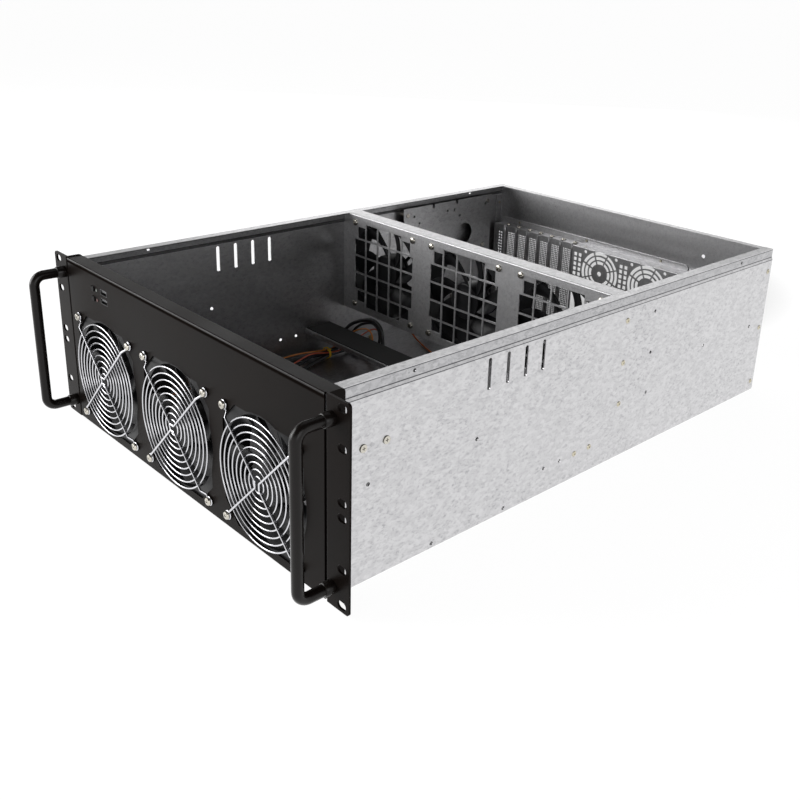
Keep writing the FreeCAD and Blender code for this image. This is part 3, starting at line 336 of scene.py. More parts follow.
# Name of each pattern's node group: what its scale counts, its outputs and what draws it.
PATTERNS = {
    "Zinc Crystals": ("Cells per Metre", ("Mask", "Height"), zinc_crystals),
    "Fine Grain": ("Grains per Metre", ("Height", "Dullness"), fine_grain),
    "Handling Marks": ("Streaks per Metre", ("Mask",), handling_marks),
}


def pattern(tree, name, place, per_metre):
    """Outputs of a shared pattern, whose node group is made on first use."""
    label, outputs, draw = PATTERNS[name]
    group = bpy.data.node_groups.get(name)
    if group is None:
        group = bpy.data.node_groups.new(name, "ShaderNodeTree")
        group.interface.new_socket("Vector", in_out="INPUT", socket_type="NodeSocketVector")
        group.interface.new_socket(label, in_out="INPUT", socket_type="NodeSocketFloat")
        for output in outputs:
            group.interface.new_socket(output, in_out="OUTPUT", socket_type="NodeSocketFloat")
        start = group.nodes.new("NodeGroupInput")
        end = group.nodes.new("NodeGroupOutput")
        feed(group, end, draw(group, start.outputs["Vector"], start.outputs[label]))
    return add(tree, "ShaderNodeGroup", {"Vector": place, label: per_metre}, node_tree=group).outputs


# ---------------------------------------------------------------- finishes
# Depth of the tub's sharp bends below its top edge, from the top one down; a dark line of painted shade is
# drawn along each.
TUB_CREASES = (0.0011, 0.0097, 0.0127)
# The front panel's painted highlight along its top fold and the line of painted shade under it: depth below
# the top edge and width.
FOLD_HIGHLIGHT = (0.0012, 0.0012)
FOLD_SHADE = (0.0034, 0.0028)
# Specular level of the painted highlight along the fold.
HIGHLIGHT_SHINE = 0.18


def bend_lines(tree, place, heights, width):
    """Mask of thin lines at those heights, where the sheet is bent sharply; it places lines of painted shade
    and painted highlight.
    """
    level = upright(tree, place)
    mask = 0.0
    for height in heights:
        away = maths(tree, "ABSOLUTE", maths(tree, "SUBTRACT", level, height))
        mask = maths(tree, "MAXIMUM", mask, ramp(tree, away, width * 0.3, width * 0.7, 1.0, 0.0))
    return mask


def zinc_sheet(settings, name="Galvanised Sheet", metallic=1.0, bends=()):
    """Zinc plated sheet; bends are the heights of its sharp bends, each with a dark line of painted shade,
    the two highest with a darker band between.
    """
    material, tree, shader, place = start_material(name)
    crystals = pattern(tree, "Zinc Crystals", place, 1.0 / settings.crystal)
    marks = pattern(tree, "Handling Marks", place, 60.0)
    dark = crystals["Mask"]
    if bends:
        level = upright(tree, place)
        band = maths(tree, "MULTIPLY", maths(tree, "LESS_THAN", level, bends[0]),
                     maths(tree, "GREATER_THAN", level, bends[1]))
        dark = maths(tree, "ADD", dark, maths(tree, "MULTIPLY", band, settings.band))
    tint = blend_colours(tree, dark, settings.zinc, settings.zinc_dark)
    if bends:
        # Painted shade: a dark line along each sharp bend.
        crease_shade_lines = bend_lines(tree, place, bends, settings.crease_shade_width)
        tint = blend_colours(tree, crease_shade_lines, tint, settings.crease_shade)
    low = settings.zinc_roughness
    rough = maths(tree, "ADD", ramp(tree, crystals["Mask"], 0.0, 1.0, low - 0.03, low + 0.06),
                  maths(tree, "MULTIPLY", marks["Mask"], 0.05))
    feed(tree, shader, {"Base Color": tint, "Metallic": metallic, "Roughness": rough})
    bump(tree, shader, crystals["Height"], 0.04, 0.0003)
    return material


def grained(name, base, roughness, grains, strength, specular=0.5, spread=0.10, lift=1.6):
    """Dull or satin solid colour with fine grain and slightly paler dull patches."""
    material, tree, shader, place = start_material(name)
    grain = pattern(tree, "Fine Grain", place, grains)
    pale = [min(1.0, c * lift) for c in base]
    feed(tree, shader, {
        "Base Color": blend_colours(tree, grain["Dullness"], base, pale),
        "Roughness": ramp(tree, grain["Dullness"], 0.0, 1.0, roughness - spread / 2, roughness + spread / 2),
        "Specular IOR Level": specular})
    bump(tree, shader, grain["Height"], strength, 0.0003)
    return material


def plated(name, base, roughness, spread=0.10):
    """Bright plated metal with small dull patches."""
    material, tree, shader, place = start_material(name)
    grain = pattern(tree, "Fine Grain", place, 1500.0)
    dull = [c * 0.82 for c in base]
    feed(tree, shader, {
        "Base Color": blend_colours(tree, grain["Dullness"], base, dull),
        "Roughness": ramp(tree, grain["Dullness"], 0.0, 1.0, roughness, roughness + spread),
        "Metallic": 1.0})
    bump(tree, shader, grain["Height"], 0.03, 0.0002)
    return material


def powder_coat(settings, name):
    return grained(name, settings.paint, settings.paint_roughness, 1400.0, 0.10, 0.03)


def satin_coat(settings, name):
    return grained(name, settings.paint, 0.24, 1400.0, 0.05, 0.16, 0.06)


def insulation(name, base):
    return grained(name, base, 0.35, 2500.0, 0.04, lift=1.08)


def lamp_lens(name, base):
    return grained(name, base, 0.30, 1800.0, 0.02, 0.3, 0.06, 1.1)


def folded_edge(material, top):
    """Gives a painted panel a painted highlight along its fold, where the rounded bend would catch the light,
    and the dark line of painted shade below it.
    """
    tree = material.node_tree
    shader = tree.nodes["Principled BSDF"]
    place = add(tree, "ShaderNodeTexCoord").outputs["Object"]
    # The first mask marks the painted highlight along the fold, the second the line of painted shade below
    # it.
    highlight_mask, dark = (bend_lines(tree, place, (top - depth,), width) for depth, width in (FOLD_HIGHLIGHT, FOLD_SHADE))
    # Painted highlight: a raised shine along the fold.
    level = ramp(tree, highlight_mask, 0.0, 1.0, shader.inputs["Specular IOR Level"].default_value, HIGHLIGHT_SHINE)
    # Painted shade: no shine at all in the dark line below the fold.
    level = maths(tree, "MULTIPLY", level, maths(tree, "SUBTRACT", 1.0, dark))
    feed(tree, shader, {"Specular IOR Level": level})
    return material


def circuit_board():
    """Green solder mask with faint copper tracks under it."""
    material, tree, shader, place = start_material("Circuit Board")
    tracks = add(tree, "ShaderNodeTexBrick", {
        "Vector": place, "Scale": 260.0, "Mortar Size": 0.05, "Color1": (0.010, 0.060, 0.030, 1.0),
        "Color2": (0.014, 0.075, 0.036, 1.0), "Mortar": (0.05, 0.12, 0.05, 1.0)}).outputs
    feed(tree, shader, {"Base Color": tracks["Color"], "Roughness": 0.35})
    bump(tree, shader, tracks["Fac"], 0.10, 0.0001)
    return material


def finish_table(finishes, wiring):
    """Each material slot of the record with its finish."""
    return {
        "galvanised_steel": zinc_sheet(finishes),
        "black_steel": powder_coat(finishes, "Black Powder Coat"),
        "chrome_wire": plated("Chrome Wire", finishes.chrome, 0.06, 0.08),
        "fan_plastic": grained("Black Fan Plastic", finishes.plastic, 0.36, 1100.0, 0.06, 0.12, 0.14),
        "button_plastic": grained("Button Plastic", (0.004, 0.004, 0.004), 0.45, 1600.0, 0.04, 0.06),
        "foam_rubber": grained("Rubber Strip", finishes.pad, 0.85, 700.0, 0.35, 0.25, 0.08, 1.35),
        "led_lens": lamp_lens("Clear Lens", (0.10, 0.11, 0.10)),
        "led_lens_red": lamp_lens("Red Lens", (0.05, 0.008, 0.007)),
        "circuit_board": circuit_board(),
        "bright_steel": plated("Dull Tin Plate", (0.09, 0.09, 0.093), 0.35),
        "nickel_steel": plated("Nickel Screws", finishes.nickel, 0.20),
        "brass_posts": plated("Brass Posts", (0.46, 0.33, 0.14), 0.25),
        "cable_black": grained("Black Sleeve", wiring.sleeve, 0.40, 2200.0, 0.10, 0.5, 0.12),
        "wire_orange": insulation("Orange Wire", wiring.first_wire),
        "wire_yellow": grained("Yellow Tie", wiring.tie, 0.38, 1800.0, 0.04, lift=1.08),
        "connector_plastic": grained("Black Nylon", (0.012, 0.012, 0.012), 0.42, 1500.0, 0.05),
    }


def own_finishes(finishes, wiring):
    """Finishes of the nodes that differ from the rest of their slot."""
    tub_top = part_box("chassis_tub")[1].z
    # Heights of the tub's sharp bends, each drawn with a line of painted shade.
    crease_shade_lines = [tub_top - depth for depth in TUB_CREASES]
    panel_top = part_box("front_panel")[1].z
    inner = zinc_sheet(finishes, "Galvanised Inner Sheet", finishes.inner_metallic)
    return {
        "chassis_tub": zinc_sheet(finishes, "Galvanised Tub", bends=crease_shade_lines),
        "left_handle": satin_coat(finishes, "Left Handle Coat"),
        "right_handle": satin_coat(finishes, "Right Handle Coat"),
        "front_panel": folded_edge(powder_coat(finishes, "Panel Powder Coat"), panel_top),
        "harness_wire_2": insulation("Red Wire", wiring.second_wire),
        "fan_wall_wire": insulation("Brown Wire", wiring.rear_wire),
        **dict.fromkeys(("mid_fan_wall", "rear_io_panel", *SLOT_COVERS), inner),
    }


def finish_of(node):
    return frame["nodes"][node].data.materials[0]


def slot_of(node):
    return next(part["material_slot"] for part in frame["record"]["subparts"] if part["node"] == node)


# ---------------------------------------------------------------- mesh helpers
# Outlines of the heads, as shares of the radius and the height, from the rim of the top down.
ROUND_EDGE = ((0.86, 0.72), (0.97, 0.42), (1.0, 0.0))
FLAT_EDGE = ((0.92, 0.96), (1.0, 0.5), (1.0, 0.0))
RIVET_DOME = ((0.30, 1.0), (0.62, 0.88), (0.88, 0.52), (1.0, 0.12), (1.0, 0.0))
# A screw's cross: squares across the flat grid under it, the grid's half width and how far the dome
# drops as shares of the head's radius and height, and the cross's width at its foot.
CROSS_CELLS, CROSS_REACH, DOME_DROP, CROSS_TAPER = 7, 0.62, 0.32, 0.62
# How deep a guard's rings sink into its legs, and a loop's stand off the panel in wire thicknesses.
WELD, LOOP_STAND = 0.0002, 0.52
# How close a corner of the fan wall has to lie to a bar's edge to move with it.
NEAR_BAR = 0.0002


def new_object(name, data):
    thing = bpy.data.objects.new(name, data)
    bpy.context.scene.collection.objects.link(thing)
    return thing


def make_piece(name, bm, node, sharp=35.0, material=None, replaces=True):
    """Turns a bmesh into a piece of the case that stands for a node and its finish."""
    bmesh.ops.recalc_face_normals(bm, faces=bm.faces)
    mesh = bpy.data.meshes.new(name)
    bm.to_mesh(mesh)
    bm.free()
    mesh.shade_smooth()
    mesh.set_sharp_from_angle(angle=math.radians(sharp))
    mesh.materials.append(material or finish_of(node))
    piece = new_object(name, mesh)
    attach(piece, ROOT)
    if replaces:
        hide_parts(node)
    return piece


def take_in(target, source, matrix):
    """Adds a copy of a bmesh to another one, placed by a matrix."""
    mesh = bpy.data.meshes.new("spare")
    source.to_mesh(mesh)
    mesh.transform(matrix)
    target.from_mesh(mesh)
    bpy.data.meshes.remove(mesh)


def middle(node):
    low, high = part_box(node)
    return (low + high) / 2


def facing(point, outward):
    """Places a shape made upright at the origin so that its top faces outward."""
    turn = Vector((0, 0, 1)).rotation_difference(Vector(outward)).to_matrix().to_4x4()
    return Matrix.Translation(point) @ turn


def corner_points(x, z, span, y):
    half = span / 2
    return [Vector((x + i * half, y, z + k * half)) for k in (1, -1) for i in (-1, 1)]


def edges_of(verts):
    """Each edge at those vertices once, in an order that is the same on every run."""
    return list(dict.fromkeys(edge for vert in verts for edge in vert.link_edges))


def extruded(bm, edges):
    """Extrudes edges in place; returns the new vertices and the new outer edges."""
    grown = bmesh.ops.extrude_edge_only(bm, edges=edges)["geom"]
    verts = [g for g in grown if isinstance(g, bmesh.types.BMVert)]
    return verts, [g for g in grown if isinstance(g, bmesh.types.BMEdge) and all(v in verts for v in g.verts)]


def domed(bm, rim, radius, height, steps):
    """Grows a rim outwards and down in steps, each a share of the radius and height, and closes its foot."""
    for out, up in steps:
        verts, rim = extruded(bm, rim)
        for vert in verts:
            level = vert.co.xy.normalized() * radius * out
            vert.co = (level.x, level.y, height * up)
    bmesh.ops.contextual_create(bm, geom=rim)


def whole_turn(bm, edges, centre, steps, axis=(0, 1, 0)):
    bmesh.ops.spin(bm, geom=edges, cent=centre, axis=axis, angle=math.tau, steps=steps, use_merge=True,
                   use_duplicate=False)


def block(bm, place, size, edge=0.0):
    """Adds a box round the middle of a place, with its edges rounded off."""
    cube = bmesh.ops.create_cube(bm, size=1.0, matrix=place @ Matrix.Diagonal((*size, 1.0)))
    if edge:
        bmesh.ops.bevel(bm, geom=edges_of(cube["verts"]), offset=edge, offset_type="OFFSET", segments=2,
                        profile=0.5, affect="EDGES", material=-1)


def ring_of_wire(bm, radius, wire, y, middle_point=(0, 0, 0), steps=72):
    """Closed ring round an axis along Y."""
    centre = Vector(middle_point)
    place = Matrix.Translation(centre + Vector((radius, y, 0)))
    circle = bmesh.ops.create_circle(bm, cap_ends=False, radius=wire / 2, segments=8, matrix=place)
    whole_turn(bm, edges_of(circle["verts"]), centre, steps)


def bent_wire(bm, stops, wire, bend, sides=8, steps=4):
    """Round wire through the stops, with its corners bent to one radius."""
    place = facing(stops[0], stops[1] - stops[0])
    circle = bmesh.ops.create_circle(bm, cap_ends=True, radius=wire / 2, segments=sides, matrix=place)
    ring = edges_of(circle["verts"])
    here = stops[0]
    for before, stop, after in zip(stops, stops[1:], [*stops[2:], None]):
        way = (stop - before).normalized()
        target = stop
        if after is not None:
            onward = (after - stop).normalized()
            corner = way.angle(onward)
            setback = bend * math.tan(corner / 2)
            target = stop - way * setback
        verts, ring = extruded(bm, ring)
        bmesh.ops.translate(bm, verts=verts, vec=target - here)
        if after is not None:
            axis = way.cross(onward).normalized()
            swept = bmesh.ops.spin(bm, geom=ring, cent=target + axis.cross(way) * bend, axis=axis,
                                   angle=corner, steps=steps, use_duplicate=False)["geom_last"]
            ring = [g for g in swept if isinstance(g, bmesh.types.BMEdge)]
            here = stop + onward * setback
    bmesh.ops.contextual_create(bm, geom=ring)


def cross_head(radius, height, recess=0.55, flat=False):
    """Screw head with a cross recess, made upright with its seat at the origin."""
    bm = bmesh.new()
    inner = radius * CROSS_REACH
    bmesh.ops.create_grid(bm, x_segments=CROSS_CELLS, y_segments=CROSS_CELLS, size=inner)
    for vert in bm.verts:
        if vert.is_boundary:
            vert.co *= inner / vert.co.length
    step = inner * 2 / CROSS_CELLS
    arm = [face for face in bm.faces
           if min(abs(c) for c in face.calc_center_median()[:2]) < step * 0.4
           and face.calc_center_median().length < step * 2.4]
    dome = 0.0 if flat else DOME_DROP
    for vert in bm.verts:
        vert.co.z = height * (1.0 - dome * (vert.co.length / radius) ** 2)
    rim = [edge for edge in bm.edges if edge.is_boundary]
    sunk = bmesh.ops.extrude_face_region(bm, geom=arm)["geom"]
    verts = [g for g in sunk if isinstance(g, bmesh.types.BMVert)]
    bmesh.ops.delete(bm, geom=arm, context="FACES_ONLY")
    bmesh.ops.translate(bm, verts=verts, vec=(0, 0, -height * recess))
    bmesh.ops.scale(bm, verts=verts, vec=(CROSS_TAPER, CROSS_TAPER, 1.0))
    domed(bm, rim, radius, height, FLAT_EDGE if flat else ROUND_EDGE)
    return bm


def rivet_head(radius, height):
    """Low dome with the small hole that a drawn pin leaves."""
    bm = bmesh.new()
    circle = bmesh.ops.create_circle(bm, cap_ends=True, radius=radius * 0.26, segments=12)
    bmesh.ops.translate(bm, verts=circle["verts"], vec=(0, 0, height * 0.55))
    domed(bm, [edge for edge in bm.edges if edge.is_boundary], radius, height, RIVET_DOME)
    return bm


def fastened(name, node, head, places, radius, material=None):
    """Piece of heads with plain shanks, one at each place: its seat, its way out and its shank's reach."""
    bm = bmesh.new()
    for seat, outward, reach in places:
        take_in(bm, head, facing(seat, outward))
        shank = facing(seat - Vector(outward) * (reach / 2), outward)
        bmesh.ops.create_cone(bm, cap_ends=True, segments=12, radius1=radius, radius2=radius, depth=reach,
                              matrix=shank)
    head.free()
    make_piece(name, bm, node, material=material)


# ---------------------------------------------------------------- operators
class CASE_OT_finishes(bpy.types.Operator):
    """Give every CAD node its finish"""

    bl_idname = "case.finishes"
    bl_label = "Finishes"

    def execute(self, context):
        settings = (context.scene.case_finishes, context.scene.case_wiring)
        table = finish_table(*settings)
        own = own_finishes(*settings)
        for name, node in frame["nodes"].items():
            node.data.materials.clear()
            node.data.materials.append(own.get(name) or table[slot_of(name)])
        return {"FINISHED"}


def turned(profile, sides=32):
    """Solid of revolution about Z from (radius, height) pairs that start and end on the axis."""
    bm = bmesh.new()
    verts = [bm.verts.new((radius, 0, height)) for radius, height in profile]
    edges = [bm.edges.new(pair) for pair in zip(verts, verts[1:])]
    whole_turn(bm, verts + edges, (0, 0, 0), sides, (0, 0, 1))
    bmesh.ops.remove_doubles(bm, verts=bm.verts, dist=1e-6)
    return bm


class CASE_OT_handles(bpy.types.Operator):
    """Bend the two handles from round rod, with a collar at each foot"""

    bl_idname = "case.handles"
    bl_label = "Handles"

    def execute(self, context):
        s = context.scene.case_handles
        for side in ("left", "right"):
            node = side + "_handle"
            low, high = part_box(node)
            collar = (high.x - low.x) / 2
            across = low.x + collar
            bar = low.y + s.rod / 2
            feet = (low.z + collar, high.z - collar)
            bm = bmesh.new()
            stops = [Vector((across, high.y, feet[0])), Vector((across, bar, feet[0])),
                     Vector((across, bar, feet[1])), Vector((across, high.y, feet[1]))]
            bent_wire(bm, stops, s.rod, s.bend, sides=28, steps=12)
            ring = turned([(0, 0), (collar, 0), (collar, s.collar_length - s.collar_edge),
                           (collar - s.collar_edge, s.collar_length), (0, s.collar_length)])
            for foot in feet:
                take_in(bm, ring, facing(Vector((across, high.y, foot)), (0, -1, 0)))
            ring.free()
            make_piece(node + "_rod", bm, node, sharp=50)
        return {"FINISHED"}


class CASE_OT_guards(bpy.types.Operator):
    """Build the wire guards in front of the three front fans from round wire"""

    bl_idname = "case.guards"
    bl_label = "Wire Guards"

    def execute(self, context):
        s = context.scene.case_guards
        ring_y = -s.leg_stand + (s.leg_wire + s.ring_wire) / 2 - WELD
        low_y = -s.leg_wire * LOOP_STAND
        guard = bmesh.new()
        for index in range(s.rings):
            ring_of_wire(guard, s.outer - index * s.pitch, s.ring_wire, ring_y)
        corner = s.hole_span / 2
        start = corner - s.eyelet * math.sqrt(0.5)
        foot = start - s.foot
        knee = foot - s.rise
        for up in (-1, 1):
            side = [Vector((start, low_y, up * start)), Vector((foot, low_y, up * foot)),
                    Vector((knee, -s.leg_stand, up * knee)), Vector((s.apex, -s.leg_stand, up * s.apex))]
            other = [Vector((-p.x, p.y, p.z)) for p in reversed(side)]
            bent_wire(guard, side + other, s.leg_wire, s.leg_bend)
            for across in (-1, 1):
                screw = (across * corner, 0, up * corner)
                ring_of_wire(guard, s.eyelet, s.leg_wire, low_y, screw, steps=24)
        for number in (1, 2, 3):
            node = "fan_guard_%d" % number
            place = middle(node)
            turn = Matrix.Rotation(math.pi / 2 if number == 3 else 0.0, 4, "Y")
            bm = bmesh.new()
            take_in(bm, guard, Matrix.Translation((place.x, EAR_FACE, place.z)) @ turn)
            make_piece("guard_wires_%d" % number, bm, node, sharp=60)
        guard.free()
        return {"FINISHED"}


class CASE_OT_screws(bpy.types.Operator):
    """Build the fan, side and slot cover screws with cross recesses"""

    bl_idname = "case.screws"
    bl_label = "Screws"

    def execute(self, context):
        s = context.scene.case_fasteners
        span = context.scene.case_guards.hole_span
        self.fan_screws(s, "front", span, EAR_FACE - s.eyelet_seat)
        self.fan_screws(s, "mid", span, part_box("mid_fan_screws")[0].y + s.plain_head)
        self.side_screws(s)
        self.cover_screws(s)
        return {"FINISHED"}

    def fan_screws(self, s, row, span, seat):
        node = row + "_fan_screws"
        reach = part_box(node)[1].y - seat
        places = []
        for number in (1, 2, 3):
            centre = middle("%s_fan_%d_frame" % (row, number))
            places += [(point, (0, -1, 0), reach) for point in corner_points(centre.x, centre.z, span, seat)]
        fastened(node + "_heads", node, cross_head(s.fan_head, s.fan_height), places, s.shank)

    def side_screws(self, s):
        low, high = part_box("flank_screws")
        level = (low.z + high.z) / 2
        places = [(Vector((x, along, level)), (side, 0, 0), s.flank_shank)
                  for along in (low.y + s.flank_head, high.y - s.flank_head)
                  for side, x in ((-1, low.x + s.flank_height), (1, high.x - s.flank_height))]
        head = cross_head(s.flank_head, s.flank_height, 0.9, True)
        fastened("flank_screw_heads", "flank_screws", head, places, s.shank)

    def cover_screws(self, s):
        low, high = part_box("slot_cover_screws")
        first = low.x + s.cover_head
        pitch = (high.x - s.cover_head - first) / (len(SLOT_COVERS) - 1)
        places = [(Vector((first + index * pitch, (low.y + high.y) / 2, high.z - s.cover_height)),
                   (0, 0, 1), s.cover_shank) for index in range(len(SLOT_COVERS))]
        head = cross_head(s.cover_head, s.cover_height)
        fastened("slot_cover_screw_heads", "slot_cover_screws", head, places, s.cover_head / 2)


class CASE_OT_rivets(bpy.types.Operator):
    """Put domed heads on the rivets of the walls, the shelf and the inner side plate"""

    bl_idname = "case.rivets"
    bl_label = "Rivets"

    def execute(self, context):
        s = context.scene.case_fasteners
        yellow = plated("Yellow Plated Rivets", context.scene.case_finishes.rivet, 0.28)
        copy = bmesh.new()
        copy.from_mesh(frame["nodes"]["rivets"].data)
        bmesh.ops.remove_doubles(copy, verts=copy.verts, dist=1e-6)
        places = []
        for centre, low, high in separate_boxes(copy):
            across, along, tall = high - low
            if abs(along - tall) < abs(across - tall):
                outward, depth = Vector((math.copysign(1, centre.x), 0, 0)), across
            else:
                outward, depth = Vector((0, 1, 0)), along
            places.append((centre + outward * (depth / 2 - s.rivet_height), outward, depth - s.rivet_height))
        copy.free()
        head = rivet_head(s.rivet_head, s.rivet_height)
        fastened("rivet_domes", "rivets", head, places, s.rivet_shank, yellow)
        return {"FINISHED"}


def separate_boxes(bm):
    """Middle, lowest and highest corner of each loose part of a bmesh."""
    left = set(bm.verts)
    found = []
    while left:
        group = []
        open_ends = [left.pop()]
        while open_ends:
            vert = open_ends.pop()
            group.append(vert.co.copy())
            for edge in vert.link_edges:
                other = edge.other_vert(vert)
                if other in left:
                    left.remove(other)
                    open_ends.append(other)
        low = Vector(min(p[i] for p in group) for i in range(3))
        high = Vector(max(p[i] for p in group) for i in range(3))
        found.append(((low + high) / 2, low, high))
    return sorted(found, key=lambda item: tuple(item[0]))


def perforated_cell(bm, hole, half, corner):
    """Square cell with a round hole, made flat in the XZ plane at one corner."""
    turn = Matrix.Rotation(math.pi / 2, 4, "X")
    place = Matrix.Translation(corner) @ turn
    inner = bmesh.ops.create_circle(bm, cap_ends=False, radius=hole, segments=8, matrix=place)["verts"]
    outer = bmesh.ops.create_circle(bm, cap_ends=False, radius=half, segments=8, matrix=place)["verts"]
    for vert in outer:
        offset = vert.co - corner
        big = max(abs(offset.x), abs(offset.z))
        vert.co = corner + Vector((half * offset.x / big, 0, half * offset.z / big))
    bmesh.ops.bridge_loops(bm, edges=edges_of(inner + outer))


def grow_edges(bm, edges, vec):
    """Extrudes edges along a vector and returns the new outer edges."""
    verts, outer = extruded(bm, edges)
    bmesh.ops.translate(bm, verts=verts, vec=vec)
    return outer


def border(bm, axis, value):
    return [edge for edge in bm.edges if edge.is_boundary
            and all(abs(vert.co[axis] - value) < 1e-6 for vert in edge.verts)]


class CASE_OT_covers(bpy.types.Operator):
    """Build the slot covers with their rows of small holes and folded tabs"""

    bl_idname = "case.covers"
    bl_label = "Slot Covers"

    def execute(self, context):
        s = context.scene.case_covers
        screw_y = middle("slot_cover_screws").y
        for node in SLOT_COVERS:
            low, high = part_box(node)
            if node == SLOT_COVERS[0]:
                bm = self.strip(s, low, high, s.first_hole, s.first_pitch, s.first_columns)
            else:
                bm = self.strip(s, low, high, s.hole, s.pitch, s.columns)
            edge = border(bm, 2, high.z - s.sheet / 2)
            front = low.y + s.sheet / 2
            before = screw_y - s.notch / 2 - front
            for reach in (before, s.notch, high.y - front - before - s.notch):
                edge = grow_edges(bm, edge, (0, reach, 0))
            notch = [face for face in bm.faces
                     if abs(face.calc_center_median().y - screw_y) < s.notch / 2
                     and face.calc_center_median().x > high.x - s.notch_depth]
            bmesh.ops.delete(bm, geom=notch, context="FACES")
            bmesh.ops.recalc_face_normals(bm, faces=bm.faces)
            wall = make_piece(node + "_perforated", bm, node).modifiers.new("Sheet", "SOLIDIFY")
            wall.thickness = s.sheet
            wall.offset = 0.0
        return {"FINISHED"}

    def strip(self, s, low, high, hole, pitch, columns):
        """Flat perforated strip with plain margins, up to the fold line of the tab."""
        bm = bmesh.new()
        y = low.y + s.sheet / 2
        width = high.x - low.x - s.side_tab
        rows = int((high.z - low.z - 2 * s.margin) / pitch)
        first_x = low.x + width / 2 - (columns - 1) / 2 * pitch
        first_z = low.z + s.margin + pitch / 2
        for column in range(columns):
            for row in range(rows):
                corner = Vector((first_x + column * pitch, y, first_z + row * pitch))
                perforated_cell(bm, hole, pitch / 2, corner)
        bmesh.ops.remove_doubles(bm, verts=bm.verts, dist=1e-5)
        left = first_x - pitch / 2
        right = first_x + (columns - 0.5) * pitch
        bottom = first_z - pitch / 2
        top = bottom + rows * pitch
        grow_edges(bm, border(bm, 0, left), (low.x - left, 0, 0))
        grow_edges(bm, border(bm, 0, right), (low.x + width - right, 0, 0))
        grow_edges(bm, border(bm, 2, bottom), (0, 0, low.z - bottom))
        grow_edges(bm, border(bm, 2, top), (0, 0, high.z - s.sheet / 2 - top))
        return bm


class CASE_OT_fan_wall(bpy.types.Operator):
    """Draw the bars of the fan wall's grids out to their real width"""

    bl_idname = "case.fan_wall"
    bl_label = "Fan Wall"

    def execute(self, context):
        s = context.scene.case_grid
        node = "mid_fan_wall"
        bm = bmesh.new()
        bm.from_mesh(frame["nodes"][node].data)
        bmesh.ops.remove_doubles(bm, verts=bm.verts, dist=1e-6)
        lines = [(k - (s.cells - 2) / 2) * s.pitch for k in range(s.cells - 1)]
        reach = s.cells * s.pitch / 2
        for number in (1, 2, 3):
            centre = middle("mid_fan_%d_frame" % number)
            for vert in bm.verts:
                offset = vert.co - centre
                if max(abs(offset.x), abs(offset.z)) > reach:
                    continue
                for axis in (0, 2):
                    for line in lines:
                        aside = offset[axis] - line
                        if abs(abs(aside) - s.cad_bar / 2) < NEAR_BAR:
                            vert.co[axis] = centre[axis] + line + math.copysign(s.bar / 2, aside)
        flatten = make_piece("fan_wall_thin_grids", bm, node).modifiers.new("Flat Faces", "WEIGHTED_NORMAL")
        flatten.keep_sharp = True
        flatten.weight = 100
        return {"FINISHED"}


